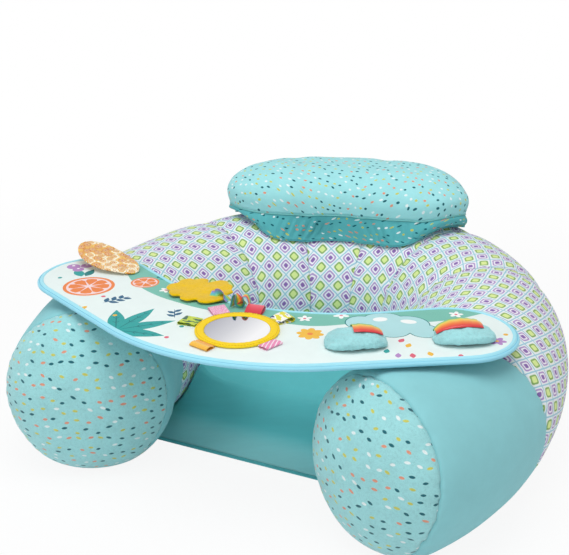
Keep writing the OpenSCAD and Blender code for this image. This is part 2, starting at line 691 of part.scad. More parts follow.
// radius of a shorter arc, joined to the end circles by straight flanks
function flank_r(drop, half, s) = (sin(half) * tray_end_x - cos(half) * drop + s * tray_end_r)
    / (1 - cos(half));
front_drop = tray_front_y - tray_end_y;
front_half = whole_half(front_drop, 1) * tray_front_round;
front_r = flank_r(front_drop, front_half, 1);
front_cy = front_r - tray_front_y;
// the rear edge curves the other way round the sitter
rear_drop = tray_rear_y - tray_end_y;
rear_half = whole_half(rear_drop, -1) * tray_rear_round;
rear_r = flank_r(rear_drop, rear_half, -1);
rear_cy = rear_r - tray_rear_y;

// the tray rests on the arms' patches, and its piping clears the tube behind them
tray_z = max(tube_h(patch_turn) + 3 * gap + 2 * tape_t, tube_h(tray_rear_turn) + gap + piping_proud);
tray_top_z = tray_z + board_t + 2 * tray_fabric_t;
toy_z = tray_top_z + gap;

// overall depth, which sets the origin under the middle of the whole seat
rear_y = max([for (st = half_stations) max([for (a = angles(st)) skin(st, a).y])]);
front_y = (front_cy + tray_end_y) * cos(tray_turn) - tray_end_y - front_r;
seat_dy = -(rear_y + front_y) / 2;

function arc(cx, cy, r, a0, a1, n) = [for (i = [0:n]) let (a = mix(a0, a1, i / n))
    [cx + r * cos(a), cy + r * sin(a)]];
// the tray's outline, grown by g, counterclockwise
function tray_outline(g) = concat(
    arc(0, front_cy, front_r + g, 270 - front_half, 270 + front_half, 24),
    arc(tray_end_x, -tray_end_y, tray_end_r + g, 270 + front_half, 450 + rear_half, 14),
    arc(0, rear_cy, rear_r - g, 270 + rear_half, 270 - rear_half, 18),
    arc(-tray_end_x, -tray_end_y, tray_end_r + g, 90 - rear_half, 270 - front_half, 14));

module tray_frame() seat_frame() translate([tray_shift, -tray_end_y, 0]) rotate(tray_turn)
    translate([0, tray_end_y, 0]) children();
module tray_plate(z, t) tray_frame() translate([0, 0, z]) linear_extrude(t)
    polygon(tray_outline(-piping_d - gap));

module tray_underside() color("#8fd0d4") tray_plate(tray_z, tray_fabric_t);
module tray_board() color("#f5f5f2") tray_plate(tray_z + tray_fabric_t, board_t);
module tray_top() color("#e9f6f4") tray_plate(tray_z + tray_fabric_t + board_t, tray_fabric_t);

// round piping, one tube all round the tray
piping_sides = 8;
function loop_normal(v, i) = let (n = len(v), t = v[(i + 1) % n] - v[(i + n - 1) % n])
    [t.y, -t.x] / norm(t);
module tray_piping() color("#86d3ee") tray_frame() {
    path = tray_outline(-piping_d / 2);
    n = len(path);
    mid_z = (tray_z + tray_top_z) / 2;
    points = [for (i = [0:n - 1], j = [0:piping_sides - 1])
        let (a = 360 * (j + 0.5) / piping_sides, o = loop_normal(path, i) * cos(a) * piping_d / 2)
        [path[i].x + o.x, path[i].y + o.y, mid_z + sin(a) * piping_d / 2]];
    polyhedron(points, [for (i = [0:n - 1], j = [0:piping_sides - 1], k = [0, 1])
        let (p = i * piping_sides, q = (i + 1) % n * piping_sides, m = (j + 1) % piping_sides)
        k == 0 ? [p + j, p + m, q + m] : [p + j, q + m, q + j]]);
}

// patches under the tray, over those on the arms
module tray_patches() color("#e2f0f0") seat_frame() for (s = [-1, 1]) {
    p = spine(s * patch_turn);
    v = along(s * patch_turn);
    translate([p.x, p.y, tray_z - tape_t]) rotate(atan2(v.y, v.x))
        translate([-tape_l / 2, -tape_w / 2, 0]) cube([tape_l, tape_w, tape_t]);
}

// ---- mirror and its ribbon tags ----

frame_mid = mirror_r + mirror_frame_w / 2;
frame_out = mirror_r + mirror_frame_w;
module mirror_place() tray_frame() translate([mirror_x, -mirror_y, tray_top_z]) children();

module mirror_plate() color("#dfe3ea") mirror_place()
    cylinder(r = mirror_r - gap, h = mirror_t, $fn = 48);
module mirror_frame() color("#f6cf1e") mirror_place() rotate_extrude($fn = 48)
    translate([frame_mid, mirror_frame_h / 2]) {
        for (s = [-1, 1]) translate([s * (mirror_frame_w - mirror_frame_h) / 2, 0])
            circle(d = mirror_frame_h, $fn = 16);
        square([mirror_frame_w - mirror_frame_h, mirror_frame_h], center = true);
    }

// a ribbon folded into a loop, lying outwards from the mirror's frame
module tag(turn, l) mirror_place() rotate(turn) translate([frame_out + gap, tag_w / 2, 0])
    rotate([90, 0, 0]) linear_extrude(tag_w) difference() {
        union() {
            square([l - tag_h / 2, tag_h]);
            translate([l - tag_h / 2, tag_h / 2]) circle(d = tag_h, $fn = 20);
        }
        translate([tag_fold, tape_t]) square([l - tag_fold - tag_h / 2, tag_h - 2 * tape_t]);
        translate([l - tag_h / 2, tag_h / 2]) circle(d = tag_h - 2 * tape_t, $fn = 16);
    }
module tag_lime() color("#b9d43c") tag(178, tag_l + 2);
module tag_pink_rear() color("#f4a6c4") tag(136, tag_l + 4);
module tag_red() color("#e85560") tag(93, tag_l - 4);
module tag_yellow() color("#eddc3a") tag(53, tag_l - 1);
module tag_orange() color("#f3a62c") tag(251, tag_l - 7);
module tag_pink_front() color("#f09cc2") tag(335, tag_l - 8);

// upright loop of rainbow ribbon between the mirror and the leaf
module ribbon_loop() color("#ef7f3a") tray_frame()
    translate([loop_x, loop_y, tray_top_z]) rotate(loop_turn) rotate([90, 0, 0])
    rotate_extrude(angle = 180, $fn = 48) translate([loop_r, -loop_w / 2]) square([tape_t, loop_w]);

// ---- crinkle flap: two fabrics with a crackling film between them ----

module crinkle_place() tray_frame() translate([crinkle_x, crinkle_y, toy_z])
    rotate(crinkle_turn) rotate([0, -crinkle_rise_angle, 0]) children();
function oval(l, w, g, n = 32) = [for (i = [0:n - 1]) let (a = 360 * i / n)
    [l / 2 + (l / 2 + g) * cos(a), (w / 2 + g) * sin(a) * (1 + 0.16 * cos(a))]];
module crinkle_layer(z, t, g) crinkle_place() translate([0, 0, z]) linear_extrude(t)
    polygon(oval(crinkle_l, crinkle_w, g));
module crinkle_back() color("#e9b26c") crinkle_layer(0, flap_fabric_t, 0);
module crinkle_film() color("#f4f4f0") crinkle_layer(flap_fabric_t, film_t, -4);
module crinkle_top() color("#ef9a3c") crinkle_layer(flap_fabric_t + film_t, flap_fabric_t, 0);

// ---- leaf flap on a short ribbon ----

module leaf_place() tray_frame() translate([leaf_x, leaf_y, toy_z + piping_proud])
    rotate(leaf_turn) children();
// lobed outline with its stem end at the origin
leaf_points = [for (i = [0:leaf_steps - 1]) let (a = 360 * i / leaf_steps)
    let (notch = 1 - leaf_notch * pow(abs(sin(a * leaf_lobes / 2)), 6))
    [leaf_l / 2 + leaf_l / 2 * cos(a) * notch, leaf_w / 2 * sin(a) * notch]];
module leaf_flap() color("#edc712") leaf_place() translate([leaf_gap, 0, tape_t])
    linear_extrude(leaf_t) polygon(leaf_points);
module leaf_ribbon() color("#7cc8a4") leaf_place() translate([0, -leaf_ribbon_w / 2, 0])
    cube([leaf_gap + leaf_ribbon_w, leaf_ribbon_w, tape_t]);

// ---- plush flaps, each curled over its satin lining ----

module plush_place(x, y, turn) tray_frame() translate([x, y, toy_z]) rotate(turn) children();
// curled plush: rows along its length, fat in the middle and flat underneath
function plush_row(f) = let (k = pow(max(0.04, 4 * f * (1 - f)), 0.35))
    [for (i = [0:plush_points - 1]) let (a = -90 + 360 * i / plush_points)
        [plush_l * f, plush_w * (0.5 + 0.5 * k * rounded(cos(a))) - plush_w / 2,
            max(0, plush_h * k * (0.5 + 0.5 * rounded(sin(a))))]];
plush_end_h = 0.15 * plush_h;
module plush_roll() loft([for (f = plush_cuts) plush_row(f)], [0, 0, plush_end_h],
    [plush_l, 0, plush_end_h]);
module lining() translate([plush_l * 0.08, plush_w / 2 + gap, 0]) rotate([90, 0, 90])
    linear_extrude(plush_l * 0.8) difference() {
        circle(r = lining_r, $fn = 32);
        circle(r = lining_r - tape_t, $fn = 32);
        translate([-lining_r, -2 * lining_r]) square(2 * lining_r);
        translate([-2 * lining_r, -lining_r]) square(2 * lining_r);
    }
module left_plush_place() plush_place(plush_left_x, plush_left_y, plush_left_turn) children();
module right_plush_place() plush_place(plush_right_x, plush_right_y, plush_right_turn) children();
module plush_flap_left() color("#7fd3d6") left_plush_place() plush_roll();
module plush_lining_left() color("#f08a3c") left_plush_place() lining();
module plush_flap_right() color("#7fd3d6") right_plush_place() mirror([0, 1, 0]) plush_roll();
module plush_lining_right() color("#f08a3c") right_plush_place() mirror([0, 1, 0]) lining();

air_chamber();
valve_body();
valve_plug();
seat_pad();
base_panel();
seat_cover();
side_panel_left();
side_panel_right();
arm_end_left();
arm_end_right();
rim_arm_left();
rim_shoulder_left();
rim_back_left();
rim_back_right();
rim_shoulder_right();
rim_arm_right();
zip_tape_upper();
zip_tape_lower();
zip_teeth();
zip_slider();
zip_pull();
arm_patch_left();
arm_patch_right();
rim_strip();
pillow_fill();
pillow_top();
pillow_band();
pillow_base();
pillow_strip();
tray_board();
tray_top();
tray_underside();
tray_piping();
tray_patches();
mirror_plate();
mirror_frame();
tag_lime();
tag_pink_rear();
tag_red();
tag_yellow();
tag_orange();
tag_pink_front();
ribbon_loop();
crinkle_top();
crinkle_film();
crinkle_back();
leaf_flap();
leaf_ribbon();
plush_flap_left();
plush_lining_left();
plush_flap_right();
plush_lining_right();
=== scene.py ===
"""Looks of the floor seat: every soft piece in the place of its CAD solid, with procedural materials."""
import math

import bmesh
import bpy
import numpy as np
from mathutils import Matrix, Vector
from mathutils.geometry import delaunay_2d_cdt


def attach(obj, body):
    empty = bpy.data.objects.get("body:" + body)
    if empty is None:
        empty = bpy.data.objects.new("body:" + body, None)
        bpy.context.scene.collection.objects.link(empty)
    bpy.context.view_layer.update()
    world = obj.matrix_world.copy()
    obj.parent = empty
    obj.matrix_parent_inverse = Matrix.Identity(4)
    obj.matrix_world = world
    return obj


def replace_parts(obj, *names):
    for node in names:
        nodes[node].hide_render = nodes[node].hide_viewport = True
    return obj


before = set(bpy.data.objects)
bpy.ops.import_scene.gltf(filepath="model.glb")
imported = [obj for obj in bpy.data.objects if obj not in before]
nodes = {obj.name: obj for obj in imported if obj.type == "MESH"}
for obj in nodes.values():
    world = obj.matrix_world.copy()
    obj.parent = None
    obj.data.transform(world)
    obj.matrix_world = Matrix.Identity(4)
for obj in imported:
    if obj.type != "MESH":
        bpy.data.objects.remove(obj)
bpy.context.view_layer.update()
scene = bpy.context.scene
scene.view_settings.view_transform = "Standard"

# ---- sizes in millimetres and degrees, as in the part's source ----

MM = 0.001
DY = -81.8216  # from the ring's middle to the frame's
SEAT = (0, DY, 0)
HALF_W, HALF_D, TURN = 253.0, 318.0, 124.0
ARM_W, ARM_H, BACK_W, BACK_H, LEAN = 223.0, 222.0, 230.0, 238.0, 28.0
DOME, PRESS, END_P = 80.0, 8.0, 19.72
COVER, BASE, GAP = 2.5, 2.0, 0.3
BACK_SEAM, SIDE_OUT, SIDE_IN = 28.0, 97.5, 107.0
PANEL_LOW = BASE + 0.1
TRAY_Z, TRAY_TOP = 226.63, 234.03
TOY_Z = TRAY_TOP + GAP
SIDES = ((1, "left"), (-1, "right"))


def mix(a, b, f):
    return a + (b - a) * f


def sn(a):
    return np.sin(np.radians(a))


def cs(a):
    return np.cos(np.radians(a))


# ---- camera first ----

def aimed(data, name, place, back):
    obj = bpy.data.objects.new(name, data)
    scene.collection.objects.link(obj)
    obj.location = place
    obj.rotation_euler = (-back).to_track_quat("-Z", "Y").to_euler()
    return obj


def make_camera(azimuth=25.53, height=20.9, far=1.286, aim=(12.2, -52.5 + DY, 257.0)):
    az, el = math.radians(azimuth), math.radians(height)
    back = Vector((math.sin(az) * math.cos(el), -math.cos(az) * math.cos(el), math.sin(el)))
    data = bpy.data.cameras.new("camera")
    data.lens, data.sensor_width = 63.27, 36
    data.clip_start, data.clip_end = 0.05, 50
    scene.camera = aimed(data, "camera", Vector(aim) * MM + back * far, back)


make_camera()


# ---- materials ----

def rgb(code):
    """Linear colour of a written one."""
    v = [int(code[i:i + 2], 16) / 255 for i in (1, 3, 5)]
    return tuple((c / 12.92 if c <= 0.04045 else ((c + 0.055) / 1.055) ** 2.4) for c in v) + (1.0,)


class Look:
    """A node material built step by step."""

    def __init__(self, name, rough, sheen=0.0, metal=0.0, spec=0.3):
        self.mat = bpy.data.materials.new(name)
        self.mat.use_nodes = True
        self.tree = self.mat.node_tree
        self.bsdf = self.tree.nodes["Principled BSDF"]
        for key, value in (("Roughness", rough), ("Metallic", metal), ("Sheen Weight", sheen),
                           ("Sheen Roughness", 0.45), ("IOR", 1.45), ("Specular IOR Level", spec)):
            self.plug(self.bsdf.inputs[key], value)

    def plug(self, socket, value):
        if isinstance(value, bpy.types.NodeSocket):
            self.tree.links.new(value, socket)
        else:
            socket.default_value = rgb(value) if isinstance(value, str) else value

    def node(self, kind, inputs, **props):
        """A new node; its inputs are links, written colours or values by number or name."""
        n = self.tree.nodes.new("ShaderNode" + kind)
        for key, value in props.items():
            setattr(n, key, value)
        for key, value in inputs.items():
            self.plug(n.inputs[key], value)
        return n

    def math(self, op, *args):
        return self.node("Math", dict(enumerate(args)), operation=op).outputs[0]

    def add(self, a, b):
        return self.math("ADD", a, b)

    def sub(self, a, b):
        return self.math("SUBTRACT", a, b)

    def mul(self, a, b):
        return self.math("MULTIPLY", a, b)

    def power_sum(self, x, y, power):
        return self.add(self.math("POWER", x, power), self.math("POWER", y, power))

    def vector(self, op, a, b=(0, 0, 0)):
        return self.node("VectorMath", {0: a, 1: b}, operation=op).outputs

    def coords(self, kind="UV"):
        if kind == "UV":
            return self.node("UVMap", {}, uv_map="flat").outputs[0]
        return self.node("TexCoord", {}).outputs[kind]

    def place(self, vector, scale, turn=0.0, shift=(0, 0, 0)):
        turn = (0, 0, math.radians(turn))
        return self.node("Mapping", {"Vector": vector, "Scale": scale, "Rotation": turn, "Location": shift}).outputs[0]

    def split(self, vector):
        return self.node("SeparateXYZ", {0: vector}).outputs

    def noise(self, vector, scale, detail, rough=0.5, out="Fac"):
        inputs = {"Vector": vector, "Scale": scale, "Detail": detail, "Roughness": rough}
        return self.node("TexNoise", inputs).outputs[out]

    def cells(self, vector, scale=1.0, feature="F1", dimensions="2D", **inputs):
        return self.node("TexVoronoi", {"Vector": vector, "Scale": scale, **inputs}, feature=feature,
                         voronoi_dimensions=dimensions).outputs

    def ramp(self, fac, stops, hard=False):
        n = self.node("ValToRGB", {0: fac})
        n.color_ramp.interpolation = "CONSTANT" if hard else "LINEAR"
        els = n.color_ramp.elements
        while len(els) > 1:
            els.remove(els[0])
        for i, (at, colour) in enumerate(stops):
            e = els[0] if i == 0 else els.new(at)
            e.position = at
            e.color = rgb(colour) if isinstance(colour, str) else (colour,) * 3 + (1,)
        return n.outputs[0]

    def blend(self, fac, a, b, mode="MIX"):
        return self.node("Mix", {0: fac, 6: a, 7: b}, data_type="RGBA", blend_type=mode).outputs[2]

    def shade(self, colour, fac, stops):
        """Darkens a colour by a ramp, or by a number and up from there."""
        stops = stops if isinstance(stops, list) else [(0.3, stops), (0.7, 1.0)]
        return self.blend(1.0, colour, self.ramp(fac, stops), "MULTIPLY")

    def spread(self, value, *limits):
        inputs = {0: value, **dict(enumerate(limits, 1))}
        return self.node("MapRange", inputs, interpolation_type="SMOOTHSTEP").outputs[0]

    def step(self, value, edge, soft):
        """0 above edge, 1 below it, over a soft width."""
        return self.spread(value, edge - soft, edge + soft, 1.0, 0.0)

    def bump(self, height, strength, distance, under=None):
        more = {} if under is None else {"Normal": under}
        return self.node("Bump", {"Height": height, "Strength": strength, "Distance": distance * MM, **more}).outputs[0]

    def done(self, colour, normal=None):
        self.plug(self.bsdf.inputs["Base Color"], colour)
        if normal is not None:
            self.plug(self.bsdf.inputs["Normal"], normal)
        return self.mat


def cloth_finish(m, uv, colour, pitch=0.9, vary=0.05):
    """Plain weave, faint mottling and soft slackness in the surface."""
    colour = m.shade(colour, m.noise(uv, 38, 3, 0.6), 1 - vary)
    across = m.split(m.place(uv, (1000 / pitch,) * 3))
    waves = [m.math("SINE", m.mul(across[i], 2 * math.pi)) for i in (0, 1)]
    height = m.add(m.mul(*waves), m.mul(m.noise(uv, 900, 2, 0.6), 0.8))
    return m.done(colour, m.bump(m.noise(uv, 30, 2, 0.5), 0.25, 1.6, m.bump(height, 0.35, 0.12)))


def plain_cloth(name, colour, kind="UV", **more):
    m = Look(name, rough=0.82, sheen=0.12)
    return cloth_finish(m, m.coords(kind), colour, **more)


def seat_cloth_painted_bounce(name, colour, painted_bounce_colour):
    """Plain cloth with painted bounce light: painted paler up to about 14 mm over the floor, where light from the white
    floor falls on it.
    """
    m = Look(name, rough=0.82, sheen=0.12)
    # painted light: below this height the colour blends to the paler one, standing in for light bounced up from the
    # floor
    low = m.step(m.split(m.coords("Object"))[2], 14 * MM, 13 * MM)
    return cloth_finish(m, m.coords(), m.blend(low, colour, painted_bounce_colour))


def velour_finish(m, colour, depth=0.5, vary=0.10):
    """Short plush pile: fine fuzz, brushed patches and a soft sheen."""
    xyz = m.coords("Object")
    brushed = m.noise(xyz, 22, 4, 0.62)
    colour = m.shade(colour, brushed, [(0.34, 1 - vary), (0.5, 0.97), (0.68, 1.0)])
    fibre, tuft = m.noise(xyz, 750, 3, 0.7), m.noise(xyz, 260, 3, 0.65)
    colour = m.shade(colour, m.mul(m.add(fibre, tuft), 0.5), [(0.38, 0.86), (0.5, 0.96), (0.62, 1.0)])
    fuzz = m.bump(m.add(fibre, m.mul(tuft, 1.4)), 0.7, 1.6 * depth)
    return m.done(colour, m.bump(brushed, 0.3, 2.2, fuzz))


def velour(name, colour, **more):
    return velour_finish(Look(name, rough=0.95, sheen=0.35, spec=0.15), colour, **more)


def satin(name, colours, along="y", span=12.0, rough=0.32):
    """Satin ribbon with soft bands of colour across its width or along it; span in millimetres."""
    m = Look(name, rough=rough, sheen=0.1, spec=0.6)
    uv = m.coords()
    share = m.math("DIVIDE", m.split(uv)["xy".index(along)], span * MM)
    colour = m.ramp(share, [(i / max(1, len(colours) - 1), c) for i, c in enumerate(colours)])
    thread = m.noise(m.place(uv, (900, 6000, 1)), 1.0, 2, 0.5)
    return m.done(m.shade(colour, thread, 0.93), m.bump(thread, 0.2, 0.08))


def lattice(name):
    """Rounded diamonds, purple and green by turns, in a pale blue wavy lattice."""
    m = Look(name, rough=0.8, sheen=0.1)
    uv = m.coords()
    shake = m.node("VectorMath", {0: m.noise(uv, 130, 1, 0.4, out="Color"), "Scale": 0.0012}, operation="SCALE")
    moved = m.vector("ADD", uv, shake.outputs[0])[0]
    cell = 1000 / 19.6
    across = m.split(m.place(moved, (cell, cell * 0.93, 1), 45))[:2]
    low = [m.math("FLOOR", c) for c in across]
    x, y = (m.math("ABSOLUTE", m.sub(m.sub(c, f), 0.5)) for c, f in zip(across, low))
    odd = m.math("PINGPONG", m.add(*low), 1.0)
    d = m.math("POWER", m.power_sum(x, y, 4.5), 1 / 4.5)
    purple = m.ramp(d, [(0.0, "#8f6bb2"), (0.145, "#9470b6"), (0.17, "#f6f2fb"), (0.25, "#f6f2fb"),
                        (0.272, "#b69cd0"), (0.355, "#b69cd0"), (0.38, "#f6f6fb"), (0.43, "#eff5f8")])
    green = m.ramp(d, [(0.0, "#e2f2a0"), (0.20, "#e2f2a0"), (0.225, "#8cb465"), (0.312, "#8cb465"),
                       (0.335, "#f3f8f2"), (0.43, "#eff5f8")])
    edge = m.math("MAXIMUM", x, y)
    colour = m.blend(m.sub(1.0, m.step(edge, 0.452, 0.012)), m.blend(odd, purple, green), "#a4d3e4")
    halo = m.sub(m.step(edge, 0.44, 0.012), m.step(edge, 0.405, 0.012))
    return cloth_finish(m, uv, m.blend(m.mul(halo, 0.55), colour, "#ffffff"), vary=0.03)


def scatter(m, uv, pitch, randomness, seed=0.0):
    """Random cells: offset from the nearest cell's middle in cell widths, its three numbers and the coordinates."""
    base = m.place(uv, (1000 / pitch, 1000 / pitch, 1), 0, (seed, seed * 0.7, 0))
    cells = m.cells(base, Randomness=randomness)
    return m.vector("SUBTRACT", base, cells["Position"])[0], m.split(cells["Color"]), base


def confetti(name, ground, pitch, long, short, plush, seed=0.0):
    """Scattered specks of four colours over a ground; sizes in millimetres."""
    m = Look(name, rough=0.93 if plush else 0.8, sheen=0.35 if plush else 0.12, spec=0.2)
    uv = m.coords()
    off, pick, _ = scatter(m, uv, pitch, 0.66, seed)
    spin = m.node("VectorRotate", {"Vector": off, "Angle": m.mul(m.sub(pick[2], 0.4), 0.9)}, rotation_type="Z_AXIS")
    local = [m.math("ABSOLUTE", c) for c in m.split(spin.outputs[0])[:2]]
    size = m.sub(1.16, m.mul(pick[1], 0.3))
    d = m.power_sum(m.mul(local[0], m.mul(size, 2 * pitch / long)), m.mul(local[1], 2 * pitch / short), 1.75)
    speck = m.ramp(pick[0], [(0.0, "#005f6c"), (0.36, "#d6d45c"), (0.57, "#ee9a7c"), (0.78, "#f2fdfd")], hard=True)
    shown = m.mul(m.step(d, 1.0, 0.3 if plush else 0.18), 0.95 if plush else 0.98)
    colour = m.blend(shown, ground, speck)
    return velour_finish(m, colour, vary=0.09) if plush else cloth_finish(m, uv, colour)


def rings_print(name):
    """Small ringed flowers in orange, gold and rust, packed closely."""
    m = Look(name, rough=0.7, sheen=0.15)
    uv = m.coords()
    off, pick, base = scatter(m, uv, 12.0, 0.45)
    s = m.split(off)
    round_it = m.mul(m.math("ARCTAN2", s[1], s[0]), 6.0)
    petals = m.mul(m.math("SINE", m.add(round_it, m.mul(pick[1], 6.28))), 0.075)
    d = m.mul(m.vector("LENGTH", off)["Value"], m.add(petals, 1.0))
    line, white = "#8f451c", "#fdf3e0"
    hot = m.ramp(d, [(0, "#d9561c"), (0.09, line), (0.11, white), (0.16, line), (0.18, "#f3b43c"), (0.27, line),
                     (0.29, white), (0.33, line), (0.35, "#ee8a2e"), (0.43, line), (0.45, "#f8cf74")], hard=True)
    gold = m.ramp(d, [(0, white), (0.06, line), (0.08, "#f0a52f"), (0.17, line), (0.19, white), (0.25, line),
                      (0.27, "#f5bf45"), (0.37, line), (0.39, "#fff3d8")], hard=True)
    colour = m.blend(m.math("GREATER_THAN", pick[0], 0.5), hot, gold)
    edge = m.cells(base, feature="DISTANCE_TO_EDGE", Randomness=0.45)["Distance"]
    colour = m.blend(m.mul(m.step(edge, 0.022, 0.01), 0.8), colour, "#a4602c")
    return m.done(colour, m.bump(m.noise(uv, 420, 2, 0.6), 0.3, 0.25))


def shell_plastic(name, colour, rough, grain=0.02):
    m = Look(name, rough=rough, spec=0.5)
    xyz = m.coords("Object")
    return m.done(m.shade(colour, m.noise(xyz, 60, 2), 0.96), m.bump(m.noise(xyz, 900, 2), 0.2, grain))


def hook_tape(name, colour):
    m = Look(name, rough=0.9, sheen=0.2)
    far = m.cells(m.coords("Object"), 700, dimensions="3D")["Distance"]
    return m.done(m.shade(colour, far, [(0.2, 1.0), (0.8, 0.82)]), m.bump(far, 0.6, 0.5))


def brushed_metal(name, colour, rough):
    m = Look(name, rough=rough, metal=1.0)
    scuff = m.noise(m.coords("Object"), 300, 3, 0.6)
    return m.done(m.shade(colour, scuff, 0.9), m.bump(scuff, 0.1, 0.02))


def mirror_painted_reflection(name):
    m = Look(name, rough=0.06, metal=1.0)
    # painted reflection: on top of the real metal reflection, the base colour runs from grey to near white across the
    # mirror, standing in for a darker and a lighter side of the room
    share = m.math("MULTIPLY_ADD", m.split(m.coords("Object"))[0], 12.0, 0.38)
    return m.done(m.ramp(share, [(0.0, "#a9a9b4"), (0.45, "#cfd0d6"), (0.85, "#f6f6f8")]))


def blotched(name, ground, marks, pitch, stretch=(1, 1)):
    """Ribbon with soft-edged blotches; marks are (colour, from, to, seed) shares of a noise."""
    m = Look(name, rough=0.45, sheen=0.1, spec=0.5)
    uv, soft = m.coords(), 0.012
    colour, scale = ground, (1000 / pitch * stretch[0], 1000 / pitch * stretch[1], 1)
    for code, low, high, seed in marks:
        n = m.noise(m.place(uv, scale, 0, (seed, seed * 1.7, 0)), 1.0, 1, 0.4)
        share = m.ramp(n, [(low - soft, 0.0), (low, 1.0), (high, 1.0), (min(1.0, high + soft), 0.0)])
        colour = m.blend(share, colour, code)
    return cloth_finish(m, uv, colour, pitch=0.6, vary=0.03)


def striped(name, ground, stripe, pitch, turn, share):
    m = Look(name, rough=0.45, sheen=0.1, spec=0.5)
    uv = m.coords()
    part = m.math("FRACT", m.split(m.place(uv, (1000 / pitch, 1000 / pitch, 1), turn))[0])
    return cloth_finish(m, uv, m.blend(m.step(part, share, 0.05), ground, stripe), pitch=0.6, vary=0.03)


def piping_painted_light(name, girth):
    """A cord's cover with painted light round its girth: a painted highlight band, a painted shade line in the groove
    between its two ridges and a darker painted underside.
    """
    m = Look(name, rough=0.6, sheen=0.15, spec=0.4)
    # painted light: pale highlight band, dark painted shade line in the groove and a darker underside, as light falls
    # round the cord
    painted_light_tone = m.ramp(m.math("DIVIDE", m.split(m.coords())[1], girth * MM), [
        (0.0, "#9adff3"), (0.1, "#9adff3"), (0.135, "#6fbfdc"), (0.155, "#6fbfdc"), (0.19, "#a9eaf9"),
        (0.34, "#a9eaf9"), (0.5, "#8fd6ea"), (0.8, "#86cfe6"), (1.0, "#9adff3")])
    return cloth_finish(m, m.coords(), painted_light_tone, pitch=0.8, vary=0.03)


# ---- meshes ----

class Shape:
    """Points in millimetres with faces and flat coordinates. A closed grid's flat coordinates have one column more."""

    def __init__(self, shift=(0, 0, 0)):
        self.shift = np.array(shift, float)
        self.v, self.f, self.uv, self.m = [], [], [], []

    def points(self, p):
        start = len(self.v)
        p = np.asarray(p, float).reshape(-1, 3) + self.shift
        self.v.extend(p.tolist())
        return np.arange(start, start + len(p))

    def face(self, ids, uv, mat=0, flip=False):
        if flip:
            ids, uv = ids[::-1], uv[::-1]
        self.f.append([int(i) for i in ids])
        self.uv.append([(float(a), float(b)) for a, b in uv])
        self.m.append(mat)

    def grid(self, p, uv, closed=False, flip=False):
        """Rows by columns; columns run so that column x row points outwards."""
        rows, cols = p.shape[:2]
        ids = self.points(p).reshape(rows, cols)
        for i in range(rows - 1):
            for j in range(cols if closed else cols - 1):
                k = (j + 1) % cols
                self.face([ids[i, j], ids[i, k], ids[i + 1, k], ids[i + 1, j]],
                          [uv[i, j], uv[i, j + 1], uv[i + 1, j + 1], uv[i + 1, j]], flip=flip)
        return ids

    def fan(self, ring, uv_ring, tip, uv_tip=(0, 0), flip=False):
        t = self.points([tip])[0]
        for j in range(len(ring)):
            self.face([ring[j], ring[(j + 1) % len(ring)], t], [uv_ring[j], uv_ring[j + 1], uv_tip], flip=flip)

    def strip(self, a, b, uv, closed=False, flip=False):
        n = len(a)
        for j in range(n if closed else n - 1):
            k = (j + 1) % n
            self.face([a[j], b[j], b[k], a[k]], [uv[j], uv[j], uv[k], uv[k]], flip=flip)

    def twin(self, outer, inner, uv, tips=None, uv_tip=(0, 0)):
        """Closed cloth with an outer and an inner skin, with tips past the last row or open there."""
        a, b = self.grid(outer, uv, closed=True), self.grid(inner, uv, closed=True, flip=True)
        if tips is not None:
            self.fan(a[-1], uv[-1], tips[0], uv_tip, flip=True)
            self.fan(b[-1], uv[-1], tips[1], uv_tip)
        self.strip(a[0], b[0], uv[0], closed=True)
        if tips is None:
            self.strip(a[-1], b[-1], uv[-1], closed=True, flip=True)

    def strap(self, outer, inner, uv):
        """Cloth with an outer and an inner skin and four edges."""
        a, b = self.grid(outer, uv), self.grid(inner, uv, flip=True)
        for i, flip in ((0, False), (-1, True)):
            self.strip(a[i], b[i], uv[i], flip=flip)
            self.strip(a[:, i], b[:, i], uv[:, i], flip=not flip)

    def make(self, name, mats, body, weld=False, sharp=None):
        me = bpy.data.meshes.new(name)
        me.from_pydata((np.array(self.v) * MM).tolist(), [], self.f)
        layer = me.uv_layers.new(name="flat")
        flat = np.array([c for face in self.uv for c in face], np.float32) * MM
        layer.data.foreach_set("uv", flat.ravel())
        for m in mats if isinstance(mats, list) else [mats]:
            me.materials.append(m)
        me.polygons.foreach_set("material_index", np.array(self.m, np.int32))
        me.polygons.foreach_set("use_smooth", np.full(len(self.f), True))
        b = bmesh.new()
        b.from_mesh(me)
        if weld:
            bmesh.ops.remove_doubles(b, verts=b.verts, dist=0.00002)
        bmesh.ops.recalc_face_normals(b, faces=b.faces)
        for e in b.edges if sharp else ():
            if len(e.link_faces) == 2 and e.calc_face_angle(0) > math.radians(sharp):
                e.smooth = False
        b.to_mesh(me)
        b.free()
        me.update()
        obj = bpy.data.objects.new(name, me)
        scene.collection.objects.link(obj)
        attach(obj, body)
        return obj


def stand_in(obj, slot, *names):
    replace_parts(obj, *names)


def unit(v, least=0.0):
    return v / np.maximum(np.linalg.norm(v, axis=-1, keepdims=True), least)


def along_ring(p):
    """Directions along a closed path."""
    return np.roll(p, -1, 0) - np.roll(p, 1, 0)


def run_length(p, axis=0):
    """Distance along a path, or along a grid's rows or columns, from the first point."""
    total = np.cumsum(np.linalg.norm(np.diff(p, axis=axis), axis=-1), axis=axis)
    return np.concatenate([np.zeros_like(np.take(total, [0], axis=axis)), total], axis=axis)


def points_at(p, q):
    """Points of a path at the distances q along it."""
    s = run_length(p)
    return np.stack([np.interp(q, s, c) for c in p.T], -1)


def wrapped(uv, step=0):
    """Flat coordinates with the first column again at the end."""
    return np.concatenate([uv, uv[:, :1] + step], 1)


def flat_grid(u, v):
    return np.stack(np.broadcast_arrays(u, v), -1)


